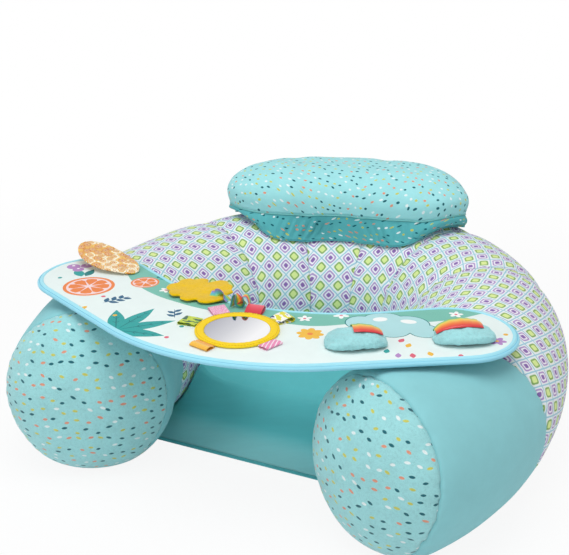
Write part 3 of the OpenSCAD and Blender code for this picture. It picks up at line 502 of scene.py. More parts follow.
def spline(p, n, closed=False):
    """n points from each given point to the next, on a smooth curve through them."""
    p = np.asarray(p, float)
    ends = (p[-1:], p[:2]) if closed else (2 * p[:1] - p[1:2], 2 * p[-1:] - p[-2:-1])
    p = np.concatenate([ends[0], p, ends[1]])
    f = np.linspace(0, 1, n, endpoint=False)[:, None]
    out = [0.5 * (2 * b + (c - a) * f + (2 * a - 5 * b + 4 * c - d) * f ** 2 + (3 * b - a - 3 * c + d) * f ** 3)
           for a, b, c, d in zip(p, p[1:], p[2:], p[3:])]
    return np.concatenate(out if closed else out + [p[-2:-1]])


def grid_normals(p, closed=False):
    across = np.roll(p, -1, 1) - np.roll(p, 1, 1) if closed else np.gradient(p, axis=1)
    return unit(np.cross(across, np.gradient(p, axis=0)), 1e-9)


def ripple(x, seed):
    """Smooth noise from -1 to 1 with waves about 1 long."""
    r = np.random.RandomState(seed)
    total = 0
    for _ in range(5):
        total = total + np.sin(2 * math.pi * (x * r.uniform(0.5, 1.5) + r.rand()))
    return np.clip(total / 2.6, -1, 1)


def folds(x, seed):
    """The same noise from 0 to 1."""
    return 0.5 - 0.5 * ripple(x, seed)


def lumps(x, y, seed):
    """Smooth noise from -1 to 1 over a plane with lumps about 1 across."""
    r = np.random.RandomState(seed)
    total = 0
    for _ in range(7):
        a, f = r.uniform(0, math.pi), r.uniform(0.6, 1.4)
        total = total + np.sin(2 * math.pi * f * (x * math.cos(a) + y * math.sin(a)) + 6.28 * r.rand())
    return np.clip(total / 3.0, -1, 1)


def humps(x, y, seed):
    """The same noise from 0 to 1."""
    return 0.5 + 0.5 * lumps(x, y, seed)


# ---- the inflated ring ----

def ease(t):
    return (1 - cs(180 * np.minimum(1, np.abs(t) / TURN))) / 2


def tube_h(t):
    return mix(BACK_H, ARM_H, ease(t))


def seam_dip(t):
    near = np.minimum.reduce([np.abs(np.abs(t) - k * BACK_SEAM) for k in range(3)])
    return 2.5 * np.exp(-(near / 3) ** 2)


def outward(t):
    return unit(np.stack([HALF_D * sn(t), HALF_W * cs(t)], -1))


def skin(t0, t1, p, a, d=0.0, low=0.0):
    """The ring's skin: ring angles outside and inside, dome angle, angle round the tube, depth, lowest height."""
    t0, t1, p, a = np.broadcast_arrays(*[np.asarray(x, float) for x in (t0, t1, p, a)])
    t = mix(t0, t1, (1 - cs(a)) / 2)
    s = cs(p)
    under = d + np.where(sn(a) > -0.2, seam_dip(t), 0)
    h = tube_h(t) / 2
    r = np.where(sn(a) > 0, h - under, h - under + PRESS)
    z = np.maximum(low, h + r * s * sn(a))
    wide = mix(BACK_W, ARM_W, ease(t)) / 2 - under
    u = wide * s * cs(a) + LEAN * (1 - ease(t)) * (z / (2 * h) - 0.5)
    out = outward(t)
    ahead = np.stack([out[..., 1], -out[..., 0]], -1)
    spine = np.stack([HALF_W * sn(t), HALF_D * cs(t)], -1)
    c = spine + ahead * (np.sign(t) * (DOME - d) * sn(p))[..., None] + out * u[..., None]
    return np.concatenate([c, z[..., None]], -1)


ARM_RUN, ARM_PAST = 118.0, 27.0


def arm_at(e):
    """Ring angles outside and inside and dome angle at e millimetres past the start of the arm's dome."""
    back = np.minimum(e, 0) / ARM_RUN
    return (TURN + back * (TURN - SIDE_OUT), TURN + back * (TURN - SIDE_IN),
            np.degrees(np.arcsin(np.clip(np.maximum(e, 0) / DOME, 0, 1))))


def end_seam(a, side):
    """Place of the arm end's seam round the tube; it leans back over the top."""
    if side > 0:
        return 31.5 - 9.5 * np.clip(sn(a) + 0.5, 0, 1)
    return 30.0 - 32.0 * np.maximum(0, cs(a - 42))


def soft_floor(z, low, share=1.0):
    """Rounds the meeting with the floor."""
    eased = low + 10.0 * np.logaddexp(0, (z - low) / 10.0) - 3.6 * np.exp(-np.maximum(0, z - low) / 25)
    return mix(np.maximum(low, z), np.maximum(low, eased), share)


def stations(n, rows):
    """Ring angles outside and inside over panel n."""
    marks = np.array([(0, 0), (BACK_SEAM,) * 2, (2 * BACK_SEAM,) * 2, (SIDE_OUT, SIDE_IN), (TURN, TURN)])
    return mix(marks[n][:, None], marks[n + 1][:, None], np.linspace(0, 1, rows))


def pucker(distance, around, seed, depth, reach, wave=17.0):
    """Short folds that a seam pulls into the cloth, always inwards."""
    broad = folds(around / (wave * 2.7), seed + 7)
    return -(depth * folds(around / wave, seed) ** 1.5 * np.exp(-distance / reach)
             + 0.4 * depth * broad * np.exp(-distance / (2.4 * reach)))


def ring_panel(name, n, side, rows, mats, seed):
    """Panel n of the cover, between seams n and n + 1, on the sitter's left (side 1) or right (-1)."""
    plain = n == 3
    t0, t1, p = arm_at(np.linspace(-ARM_RUN, ARM_PAST, rows)) if plain else (*stations(n, rows), np.zeros(rows))
    h = tube_h(t0) / 2
    f = np.degrees(np.arcsin(np.minimum(0.985, (h - PANEL_LOW) / ((h + PRESS) * cs(p)))))
    a = -f[:, None] + (180 + 2 * f[:, None]) * np.linspace(0, 1, 116)
    args = (t0[:, None], t1[:, None], p[:, None], a)
    ends = 0.0
    if plain:
        share = np.linspace(0, 1, rows)[:, None]
        args = arm_at(mix(-ARM_RUN, end_seam(a, side), share)) + (a,)
        ends = np.clip((share - 0.6) / 0.4, 0, 1) ** 2
    skins = [skin(*args, d, -99) for d in (0, COVER)]
    for g in skins:
        g[..., 2] = soft_floor(g[..., 2], PANEL_LOW, ends)
    s, v = run_length(skins[0], 0), run_length(skins[0], 1)
    around = v - v[:, [np.argmin(np.abs(a[0] - 90))]]
    u = s - s[[rows // 2]]
    g = ((0, 20), (12, 40), (118, 115), (0, 0))[n][side > 0]
    uv = np.stack([u * cs(g) - around * sn(g) + 37 * seed, u * sn(g) + around * cs(g)], -1)
    depth = np.zeros_like(u)
    for dist, key, smooth in ((s, n, plain), (s[-1] - s, n + 1, n >= 2)):
        depth += pucker(dist, around, key * 2 + (side > 0), *((1.9, 13) if smooth else (2.4, 16)))
        if smooth:
            depth -= 2.0 * np.exp(-(dist / 3.2) ** 2)
    depth -= humps(u / 130, around / 150, seed)
    depth *= (1 - np.exp(-((v / 22) ** 2))) * (1 - np.exp(-(((v[:, [-1]] - v) / 22) ** 2)))
    move = grid_normals(skins[0]) * depth[..., None]
    for g in skins:
        g += move
        g[..., 2] = np.maximum(g[..., 2], PANEL_LOW)
        g[..., 0] *= side
    shape = Shape(SEAT)
    ids = shape.grid(skins[0], uv), shape.grid(skins[1], uv, flip=True)
    shape.strip(*[np.concatenate([g[0, :], g[1:, -1], g[-1, -2::-1], g[-2:0:-1, 0]]) for g in (*ids, uv)], closed=True)
    obj = shape.make(name, mats, "seat")
    return obj


def arm_end(name, side, mats, seed):
    a = np.linspace(0, 360, 132, endpoint=False) - 90
    seam = end_seam(a, side) / DOME
    seam = np.degrees(np.where(seam > 0, np.arcsin(np.maximum(seam, 0)), seam))
    g = mix(seam, 88.6, np.linspace(0, 1, 46)[:, None] ** 0.86)
    args = arm_at(DOME * np.where(g > 0, sn(g), np.radians(g))) + (a[None, :],)
    outer, inner = (skin(*args, d, -99) for d in (0, COVER))
    outer[..., 2], inner[..., 2] = soft_floor(outer[..., 2], PANEL_LOW), soft_floor(inner[..., 2], PANEL_LOW + COVER)
    tips = [skin(TURN, TURN, 90.0, 0.0, d, 0) for d in (0, COVER)]
    s = run_length(outer, 0)
    depth = pucker(s, run_length(outer, 1)[[0]], 41 + side, 2.3, 17, 19) - 2.2 * np.exp(-(s / 3.4) ** 2)
    depth -= 1.2 * humps(outer[..., 0] / 90, outer[..., 2] / 90, seed) * (1 - np.exp(-s / 20))
    upper = np.clip((outer[..., 2] - 25) / 30, 0, 1)
    move = grid_normals(outer, True) * (depth * upper)[..., None]
    outer, inner = outer + move, inner + move
    reach = s[[-1]] - s + np.linalg.norm(outer[-1] - tips[0], axis=-1)[None, :]
    uv = np.stack([reach * cs(a) * side, reach * sn(a)], -1)
    for g in (outer, inner, *tips):
        g[..., 0] *= side
    shape = Shape(SEAT)
    shape.twin(outer, inner, wrapped(uv), tips)
    obj = shape.make(name, mats, "seat")
    return obj


def inner_chamber(mats):
    """The air bladder inside the cover."""
    t0, t1 = np.concatenate([stations(n, 9) for n in range(4)], 1)
    q = np.concatenate([np.linspace(0, END_P, 10)[1:], np.linspace(END_P, 84, 8)[1:]])
    t0, t1, p = np.append(t0, q * 0 + TURN), np.append(t1, q * 0 + TURN), np.append(t0 * 0, q)
    t0, t1, p = (np.concatenate([k * x[:0:-1], x]) for k, x in ((-1, t0), (-1, t1), (1, p)))
    keep = np.append(True, (np.abs(np.diff(t0)) + np.abs(np.diff(t1)) + np.abs(np.diff(p))) > 1e-6)
    a = np.linspace(0, 360, 64, endpoint=False) - 90
    depth = COVER + 2.6
    g = skin(t0[keep, None], t1[keep, None], p[keep, None], a, depth, BASE + 3.4)
    uv = np.stack([run_length(g, 0), run_length(g, 1)], -1)
    uv = np.concatenate([uv, uv[:, -1:] + [0, 10]], 1)
    shape = Shape(SEAT)
    ids = shape.grid(g, uv, closed=True)
    for side, end in ((-1, 0), (1, -1)):
        shape.fan(ids[end], uv[end], skin(side * TURN, side * TURN, 90.0, 0.0, depth, 0), flip=side > 0)
    obj = shape.make("inner_chamber", mats, "seat")
    return obj


# ---- flat pieces cut from outlines ----

def signed_area(ring):
    n = np.roll(ring, -1, 0)
    return float((ring[:, 0] * n[:, 1] - n[:, 0] * ring[:, 1]).sum() / 2)


def anticlockwise(ring):
    ring = np.asarray(ring, float)
    return ring[::-1] if signed_area(ring) < 0 else ring


def inside(point, ring, margin):
    x, y = point
    a, b = ring, np.roll(ring, -1, 0)
    cross = ((a[:, 1] > y) != (b[:, 1] > y)) & (
        x < (b[:, 0] - a[:, 0]) * (y - a[:, 1]) / (b[:, 1] - a[:, 1] + 1e-12) + a[:, 0])
    if cross.sum() % 2 == 0:
        return False
    d = b - a
    f = np.clip(((point - a) * d).sum(1) / np.maximum((d * d).sum(1), 1e-9), 0, 1)
    return np.min(np.linalg.norm(a + d * f[:, None] - point, axis=1)) >= margin


def fill_outline(outline, spacing, extra=(), shapes=()):
    """Points, triangles and their materials over an outline. shapes are (outline, material); later ones lie on top."""
    pts = [Vector(q) for q in outline]
    faces = [list(range(len(pts)))]
    for ring, _ in shapes:
        faces.append(list(range(len(pts), len(pts) + len(ring))))
        pts += [Vector(q) for q in anticlockwise(ring)]
    lo, hi = np.min(outline, 0), np.max(outline, 0)
    pts += [Vector(q) for q in extra]
    for i, y in enumerate(np.arange(lo[1], hi[1], spacing * 0.87)):
        for x in np.arange(lo[0] + (i % 2) * spacing / 2, hi[0], spacing):
            if inside((x, y), outline, 0.45 * spacing):
                pts.append(Vector((x, y)))
    verts, _, tris, _, _, source = delaunay_2d_cdt(pts, [], faces, 1, 1e-4)
    kept = [(list(t), max(s)) for t, s in zip(tris, source) if 0 in s]
    used = sorted({i for t, _ in kept for i in t})
    back = {v: i for i, v in enumerate(used)}
    pts = np.array([(v[0], v[1]) for v in verts])[used]
    out = []
    for t, _ in kept:
        t = [back[i] for i in t]
        q = pts[t]
        out.append(t[::-1] if np.cross(q[1] - q[0], q[2] - q[0]) < 0 else t)
    return pts, out, [0 if top == 0 else shapes[top - 1][1] for _, top in kept]


def slab(name, outline, top, thick, mats, body, spacing, shapes=(), place=lambda p: p):
    """A flat piece of cloth; top gives its upper height over x, y arrays."""
    pts, tris, which = fill_outline(outline, spacing, shapes=shapes)
    z = top(pts[:, 0], pts[:, 1])
    shape = Shape()
    a, b = shape.points(place(np.column_stack([pts, z]))), shape.points(place(np.column_stack([pts, z - thick])))
    edges = {}
    for t, m in zip(tris, which):
        shape.face(a[t], pts[t], m)
        shape.face(b[t][::-1], pts[t][::-1])
        edges.update({(t[k], t[(k + 1) % 3]): m for k in range(3)})
    for (i, j), m in edges.items():
        if (j, i) not in edges:
            shape.face([a[i], b[i], b[j], a[j]], [pts[i], pts[i], pts[j], pts[j]], m)
    return shape.make(name, mats, body, sharp=50)


def cord(name, path, radius, mats, body, sides=8):
    """A thin cord sewn along a closed path."""
    side = unit(np.cross(unit(along_ring(path)), [0, 0, 1.0]), 1e-9)
    up = np.cross(side, unit(along_ring(path)))
    a = np.linspace(0, 2 * math.pi, sides, endpoint=False)[None, :, None]
    p = path[:, None] + (side[:, None] * np.cos(a) + up[:, None] * np.sin(a)) * radius
    s = run_length(path)
    uv = flat_grid(s[:, None], np.linspace(0, 2 * math.pi * radius, sides + 1))
    shape = Shape(SEAT)
    shape.grid(np.concatenate([p, p[:1]]), np.concatenate([uv, uv[:1] + [s[-1] + 5, 0]]), closed=True)
    shape.make(name, mats, body, weld=True)


# ---- pieces shown as their solids ----

LOOP, HOOK = hook_tape("loop_tape", "#eef7f6"), hook_tape("hook_tape", "#dcecec")
ZIP_TAPE = plain_cloth("zip_tape", "#6cc0bb", "Object", pitch=1.2)
METAL = brushed_metal("zip_metal", "#b9c4c8", 0.32)
VALVE = shell_plastic("valve_vinyl", "#f3f6f6", 0.28)
for material, names in (
        (VALVE, ("valve_body", "valve_plug")), (LOOP, ("arm_patch_left", "arm_patch_right", "rim_strip")),
        (HOOK, ("pillow_strip", "tray_patches")), (ZIP_TAPE, ("zip_tape_upper", "zip_tape_lower")),
        (shell_plastic("zip_teeth", "#eaf6f6", 0.3), ("zip_teeth",)), (METAL, ("zip_slider", "zip_pull")),
        (shell_plastic("board_foam", "#f3f3f0", 0.6, 0.2), ("tray_board",)),
        (mirror_painted_reflection("mirror_film"), ("mirror_plate",))):
    for mesh in (nodes[n].data for n in names):
        mesh.materials.clear()
        mesh.materials.append(material)
        for poly in mesh.polygons:
            poly.material_index = 0

# ---- ring ----

stand_in(inner_chamber(shell_plastic("bladder_vinyl", "#e3e9ea", 0.3)), "chamber_film", "air_chamber")

lattice_mat, side_mat = lattice("lattice_print"), plain_cloth("side_teal", "#90d2d8")
for n, (stem, rows) in enumerate((("rim_back", 34), ("rim_shoulder", 34), ("rim_arm", 48), ("side_panel", 39))):
    for side, word in SIDES:
        piece = ring_panel("%s_%s_cloth" % (stem, word), n, side, rows, side_mat if n == 3 else lattice_mat,
                           10 * n + side + 5)
        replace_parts(piece, "%s_%s" % (stem, word))
ball_mat = confetti("plush_confetti", "#a6e4e7", 14.6, 7.0, 3.5, True)
for side, word in SIDES:
    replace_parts(arm_end("arm_end_%s_plush" % word, side, ball_mat, 70 + side), "arm_end_%s" % word)

# ---- seat cushion ----

SEAT_H, CROWN, FOOT_Y, BROW_Y, FLARE, COVE = 72.0, 6.0, 40.0, 34.0, 54.0, 0.34
SEAT_MID = np.array([0.0, 70.0])
TUCK, WALL_GAP = 14.0, 2.5


def wall_point(t, z):
    """Just inside the ring's inner wall."""
    h = tube_h(t) / 2
    p = skin(t, t, 0, 180 + np.degrees(np.arcsin((h - np.maximum(z, TUCK)) / (h + PRESS))), -WALL_GAP)
    p[..., 2] = z
    return p


def front_y(z):
    return -mix(FOOT_Y, BROW_Y, 1 - math.cos(math.pi / 2 * min(1, z / SEAT_H))) - FLARE * math.exp((PANEL_LOW - z) / 10)


def seat_row(z, drawn):
    """The cushion's outline at a height, drawn in towards its middle."""
    lo, hi = 70.0, 115.0
    for _ in range(18):
        mid = (lo + hi) / 2
        lo, hi = (mid, hi) if wall_point(np.array(mid), z)[1] > front_y(z) else (lo, mid)
    t = np.linspace(lo, -lo, 84)
    wall = wall_point(t, z)
    x = np.linspace(wall[-1, 0], wall[0, 0], 44)[1:-1]
    front = np.stack([x, x * 0 + wall[0, 1], x * 0 + z], -1)
    # the cover climbs the arms at the front corners
    cove = COVE * (z / SEAT_H) ** 2
    wall = wall_point(t, z * (1 + cove * np.clip((np.abs(t) - 48) / (lo - 48), 0, 1) ** 2))
    front[:, 2] *= 1 + cove * np.exp(-(wall[0, 0] - np.abs(x)) / 16)
    row = np.concatenate([wall, front])
    row[:, :2] += unit(SEAT_MID - row[:, :2]) * drawn
    return row


def swell(obj, held, pressure=0.6, cap=1.6, frames=14):
    """Blows a closed mesh up a little as cloth and keeps the result; held points stay in place."""
    before = np.array([v.co for v in obj.data.vertices])
    mod = obj.modifiers.new("cloth", "CLOTH")
    group = obj.vertex_groups.new(name="hold")
    group.add([int(i) for i in np.nonzero(held)[0]], 1.0, "REPLACE")
    for key, value in dict(
            quality=5, mass=0.2, use_pressure=True, uniform_pressure_force=pressure, tension_stiffness=18.0,
            compression_stiffness=18.0, shear_stiffness=6, bending_stiffness=0.4, vertex_group_mass="hold").items():
        setattr(mod.settings, key, value)
    mod.settings.effector_weights.gravity = 0
    mod.collision_settings.use_collision = False
    mod.point_cache.frame_end = frames + 1
    for f in range(1, frames + 1):
        scene.frame_set(f)
    dg = bpy.context.evaluated_depsgraph_get()
    move = np.array([v.co for v in obj.evaluated_get(dg).data.vertices]) - before
    obj.modifiers.remove(mod)
    obj.vertex_groups.clear()
    scene.frame_set(1)
    move *= np.minimum(1, cap * MM / np.maximum(np.linalg.norm(move, axis=1, keepdims=True), 1e-9))
    obj.data.vertices.foreach_set("co", (before + move).astype(np.float32).ravel())
    obj.data.update()


def seat_cushion(mats):
    levels = list(zip((0, 0.012, 0.035, 0.07, 0.12, 0.2, 0.32, 0.47, 0.62, 0.76, 0.87, 0.95, 1),
                      (0, 0, 0, 0, 0, 0, 0, 0, 0, 0.6, 1.9, 4.6, 9)))
    rows = [seat_row(mix(PANEL_LOW, SEAT_H, f), e) for f, e in levels]
    edge = rows[-1]
    for f in (0.965, 0.93, 0.88, 0.8, 0.7, 0.6, 0.5, 0.4, 0.3, 0.2, 0.1):
        flat = mix(SEAT_MID, edge[:, :2], f)
        rise = SEAT_H + CROWN * (1 - f * f) - 1.5 * math.exp(-((f - 0.945) / 0.02) ** 2)
        gone = np.linalg.norm(edge[:, :2] - flat, axis=1)
        rows.append(np.column_stack([flat, rise + (edge[:, 2] - SEAT_H) * np.exp(-gone / 15)]))
    g = np.array(rows)
    side, around = run_length(g, 0), run_length(g, 1)
    n = len(levels)
    order = np.arange(len(g))[:, None]
    drop = 1.5 * (0.5 + 0.5 * ripple(around[[n - 1]] / 26, 311)) * np.exp(-np.abs(side - side[[n - 1]]) / 18)
    g[..., 2] -= np.where(order >= n - 1, drop, 0)
    g[..., 2] -= 1.2 * humps(g[..., 0] / 120, g[..., 1] / 120, 77) * (g[..., 2] > SEAT_H - 2)
    low = np.stack([np.concatenate([around, around[:, -1:] + 6], 1), wrapped(side)], -1)
    uv = np.where((order < n)[..., None], low, wrapped(g[..., :2]))
    shape = Shape(SEAT)
    ids = shape.grid(g, uv, closed=True)
    shape.fan(ids[-1], uv[-1], (*SEAT_MID, SEAT_H + CROWN - 1.0), SEAT_MID, flip=True)
    shape.fan(ids[0], uv[0], (*SEAT_MID, PANEL_LOW), SEAT_MID)
    obj = shape.make("seat_cushion", mats, "seat")
    held = np.zeros(len(shape.v), bool)
    held[ids[:6].ravel()] = True
    held[-1] = True
    swell(obj, held)
    return obj


# the seat cloth's lowest strip is painted paler, as painted bounce light from the floor
stand_in(seat_cushion(seat_cloth_painted_bounce("seat_teal_painted_bounce", "#60c2c8", "#9be0e4")), "plain_cover", "seat_cover", "seat_pad")

# ---- floor panel ----

def node_outline(name):
    """Outline of a flat CAD node's underside, in millimetres."""
    me = nodes[name].data
    co = np.array([v.co for v in me.vertices]) / MM
    key, pts, remap = {}, [], {}
    for i, c in enumerate(co):
        k = (round(c[0], 2), round(c[1], 2))
        if c[2] < co[:, 2].min() + 0.05:
            if k not in key:
                key[k] = len(pts)
                pts.append((c[0], c[1]))
            remap[i] = key[k]
    seen = set()
    for v in (list(poly.vertices) for poly in me.polygons):
        if all(i in remap for i in v):
            seen.update((remap[a], remap[b]) for a, b in zip(v, v[1:] + v[:1]))
    after = {a: b for a, b in seen if (b, a) not in seen and a != b}
    ring = [next(iter(after))]
    while after[ring[-1]] != ring[0]:
        ring.append(after[ring[-1]])
    return anticlockwise([pts[i] for i in ring])


base_ring = node_outline("base_panel")
edge = unit(along_ring(base_ring))
under_arm = np.clip((DY - 97.0 - base_ring[:, 1]) / 12, 0, 1)[:, None]
base_ring = base_ring + 9.0 * under_arm * np.stack([-edge[:, 1], edge[:, 0]], -1)
base = slab("floor_cloth", base_ring, lambda x, y: BASE - 0.25 * humps(x / 60, y / 60, 5), 1.7,
            plain_cloth("floor_teal", "#60c2c8"), "seat", spacing=14)
stand_in(base, "plain_cover", "base_panel")

# ---- head pillow ----

P_TURN, P_HALF, P_SKEW, P_REAR, P_WRAP, P_H, P_FRONT, P_EDGE = -12.3, 40.4, 3.0, 34.6, 42.9, 78.0, 44.9, 21.0
P_LIFT, P_CLOTH = 3 * GAP + 1.6 + 1.5, 1.6
SPLAY, SQUARE, FOOT_SQUARE = 0.226, 0.78, 0.5
PHI = np.arange(0, 360, 2.0)


def rounded(v, k=SQUARE):
    return np.sign(v) * np.abs(v) ** k


def pillow_pt(r, phi, lift, k=SQUARE):
    """Point over the rim: share of the way out, angle round the pillow, height, squareness of the outline."""
    r, phi, lift, k = np.broadcast_arrays(*[np.asarray(x, float) for x in (r, phi, lift, k)])
    c = cs(phi)
    t = P_TURN + r * rounded(c, k) * (P_HALF + P_SKEW * np.clip(4 * c, -1, 1))
    a = 90 - r * rounded(sn(phi), k) * np.where(sn(phi) > 0, P_REAR, P_WRAP) + 1.1 * c * r
    o = outward(t) * (cs(a) * SPLAY)[..., None]
    up = unit(np.concatenate([o, np.ones(o.shape[:-1] + (1,))], -1))
    return skin(t, t, 0, a, -P_LIFT) + up * lift[..., None]


def foot_r(phi, f=0.0):
    """The foot is drawn in under both ends."""
    return 1 - 0.085 * np.abs(cs(phi)) ** 4 * (1 - f) ** 1.5


def seam_h(phi):
    return mix(P_EDGE + 3.0 * cs(phi), P_FRONT, np.maximum(0, -sn(phi)) ** 1.55)


def pillow_top(mats):
    r = np.sin(np.radians(np.linspace(90, 1.5, 40)))[:, None]
    bulge = 0.046 * np.sin(np.pi * np.clip((1 - r ** 2.6) ** 0.459 / 0.8, 0, 1)) * (0.25 + np.abs(cs(PHI)) ** 2)
    top_h = seam_h(PHI) * r * r + P_H * (1 - r ** (2.38 + 1.7 * cs(PHI) ** 2 - 0.3 * cs(PHI))) ** 0.459
    g = pillow_pt(r * (1 + bulge), PHI, top_h)
    tip = pillow_pt(0, 0, P_H)
    s = run_length(g, 0)
    ends = np.abs(cs(PHI)) ** 3
    depth = pucker(s, run_length(g, 1)[[0]], 211, 1.7, 15, 14) * (0.55 + 1.3 * ends)
    depth *= 1 - 0.9 * np.exp(-((s / 7) ** 2))
    depth -= 1.3 * humps(g[..., 0] / 80, g[..., 1] / 60, 9) * (1 - np.exp(-s / 25))
    g = g + grid_normals(g, True) * depth[..., None] * (s > 0)[..., None]
    reach = s[[-1]] - s
    flat = g[..., :2] - tip[:2]
    ang = np.arctan2(flat[..., 1], flat[..., 0])
    inner = g - grid_normals(g, True) * P_CLOTH
    inner[0] = pillow_pt(1 - 1.8 / 75, PHI, seam_h(PHI) - 0.4)
    shape = Shape(SEAT)
    uv = wrapped(np.stack([reach * np.cos(ang), reach * np.sin(ang)], -1))
    shape.twin(g, inner, uv, (tip, tip - [0, 0, P_CLOTH]))
    obj = shape.make("pillow_top_cloth", mats, "pillow")
    return obj


def pillow_band(mats):
    f = np.linspace(0, 1, 22)[:, None]
    low, top = 2.4, seam_h(PHI) - 2.0
    g = pillow_pt(foot_r(PHI, f) + 0.022 * np.sin(np.pi * f), PHI, mix(low, top, f), mix(FOOT_SQUARE, SQUARE, f ** 0.8))
    around, up = run_length(g, 1), run_length(g, 0)
    tall = np.clip((top - low - 8) / 25, 0, 1) * (1 - 0.9 * np.abs(cs(PHI)) ** 6)
    creases = folds(around[[11]] / 13, 401) ** 2.4
    slant = folds(around[[11]] / 47 + 0.3 * f, 402)
    depth = -(5.0 * creases * (0.25 + np.sin(np.pi * np.clip(f * 0.9 + 0.06, 0, 1)) ** 0.7) + 1.6 * slant) * tall
    g = g + grid_normals(g, True) * (depth * np.sin(np.pi * np.clip(f * 1.04 - 0.02, 0, 1)) ** 0.4)[..., None]
    n = grid_normals(g, True)
    n[..., 2] = 0
    uv = np.stack([around, up], -1)
    uv = np.concatenate([uv, np.stack([around[:, -1:] + 7, up[:, :1]], -1)], 1)
    shape = Shape(SEAT)
    shape.twin(g, g - n * P_CLOTH, uv)
    obj = shape.make("pillow_band_cloth", mats, "pillow")
    return obj


def pillow_base(mats):
    r = np.array([1, 0.94, 0.82, 0.66, 0.5, 0.34, 0.18, 0.05])[:, None] * foot_r(PHI)
    skins = [pillow_pt(r, PHI, lift, FOOT_SQUARE) for lift in (1.8, 0.25)]
    flat = skins[0][..., :2]
    shape = Shape(SEAT)
    shape.twin(*skins, wrapped(flat), [pillow_pt(0, 0, lift) for lift in (1.8, 0.25)], tuple(flat[-1].mean(0)))
    obj = shape.make("pillow_base_cloth", mats, "pillow")
    return obj


stand_in(pillow_top(confetti("pillow_confetti", "#a6e8ec", 11.6, 5.2, 2.9, False, 3.1)), "confetti_print",
         "pillow_top", "pillow_fill")
# painted shade: the band and base use the pillow's confetti print on a much darker ground, for the band hanging in
# shadow under the crown and the base beneath it
band_print_painted_shade = confetti("band_confetti_painted_shade", "#62bec4", 11.6, 5.2, 2.9, False, 8.4)
stand_in(pillow_band(band_print_painted_shade), "confetti_print", "pillow_band")
stand_in(pillow_base(band_print_painted_shade), "confetti_print", "pillow_base")
a = np.arange(0, 360, 1.5)
cord("pillow_seam", pillow_pt(1.0, a, seam_h(a) - 0.6), 1.05, plain_cloth("seam_teal", "#7cc7c6", "Object"), "pillow")

# ---- play tray ----

END_R, END_X, END_Y, PIPE, GIRTH = 77.0, 247.0, 86.0, 9.0, 28
FRONT_R, FRONT_CY, REAR_R, REAR_CY = 289.483, 21.4827, 279.317, 179.317
FRONT_HALF, REAR_HALF = 28.5577, 32.3598
TRAY_TURN, TRAY_SHIFT = 3.5, -3.0


def turned(p, x, y, turn):
    c, s = math.cos(math.radians(turn)), math.sin(math.radians(turn))
    return p @ np.array([[c, s], [-s, c]]) + [x, y]


def arc(cx, cy, r, a0, a1, n):
    a = np.linspace(a0, a1, n)
    return np.stack([cx + r * cs(a), cy + r * sn(a)], -1)


def tray_outline(g, step=4.0):
    ring = np.concatenate([
        arc(0, FRONT_CY, FRONT_R + g, 270 - FRONT_HALF, 270 + FRONT_HALF, 120),
        arc(END_X, -END_Y, END_R + g, 270 + FRONT_HALF, 450 + REAR_HALF, 90),
        arc(0, REAR_CY, REAR_R - g, 270 + REAR_HALF, 270 - REAR_HALF, 120),
        arc(-END_X, -END_Y, END_R + g, 90 - REAR_HALF, 270 - FRONT_HALF, 90)])
    ring = np.concatenate([ring, ring[:1]])
    long = run_length(ring)[-1]
    return points_at(ring, np.linspace(0, long, int(long / step), endpoint=False))


def on_tray(p):
    """From the tray's own drawing to the model's frame."""
    p = np.asarray(p, float)
    return np.concatenate([turned(p[..., :2] + [0, END_Y], TRAY_SHIFT, DY - END_Y, TRAY_TURN), p[..., 2:]], -1)


def tray_piping(mats):
    path = tray_outline(-PIPE / 2, 3.0)
    t = unit(along_ring(path))
    o = np.stack([t[:, 1], -t[:, 0]], -1)
    a = np.linspace(0, 2 * math.pi, 28, endpoint=False)
    d = np.stack([np.cos(a), np.sin(a)], -1)
    reach = np.zeros(len(a))
    for cx, cz, r in ((1.5, -1.1, 3.0), (-1.8, 1.6, 2.5)):
        b = d[:, 0] * cx + d[:, 1] * cz
        reach = np.maximum(reach, b + np.sqrt(np.maximum(b * b - (cx * cx + cz * cz - r * r), 0)))
    s = run_length(path)
    tight = 1 - 0.03 * (0.5 + 0.5 * ripple(s / 16, 5))
    profile = (d * reach[:, None])[None] * tight[:, None, None]
    g = np.concatenate([path[:, None] + o[:, None] * profile[..., :1], (TRAY_Z + TRAY_TOP) / 2 + profile[..., 1:]], -1)
    uv = flat_grid(s[:, None], np.linspace(0, GIRTH, len(a) + 1))
    g, uv = np.concatenate([g, g[:1]]), np.concatenate([uv, uv[:1] + [s[-1] + 4, 0]])
    shape = Shape()
    shape.grid(on_tray(g[::-1]), uv[::-1], closed=True)
    return shape.make("tray_piping_cloth", mats, "tray", weld=True)


def ray(x, y, turn, reach):
    """Where something lies at a reach from x, y; with the turn, for what points the same way."""
    return x + reach * math.cos(math.radians(turn)), y + reach * math.sin(math.radians(turn))


def petal(x, y, length, width, turn, n=14):
    """Pointed leaf with its stem end at x, y."""
    f = np.linspace(0, 1, n)
    up = np.stack([f * length, width / 2 * np.sin(np.pi * f ** 0.85)], -1)
    return turned(np.concatenate([up, up[-2:0:-1] * [1, -1]]), x, y, turn)


def disc(x, y, r, n, squash=1.0, turn=0.0):
    a = np.linspace(0, 360, n, endpoint=False)
    return turned(np.stack([r * cs(a), r * squash * sn(a)], -1), x, y, turn)


def flower(x, y, r, n, ink, centre_ink, turn):
    spokes = [turn + 360 * i / n for i in range(n)]
    out = [(disc(*ray(x, y, t, 0.55 * r), 0.48 * r, 14, 0.62, t), ink) for t in spokes]
    return out + [(disc(x, y, 0.22 * r, 12), centre_ink)]


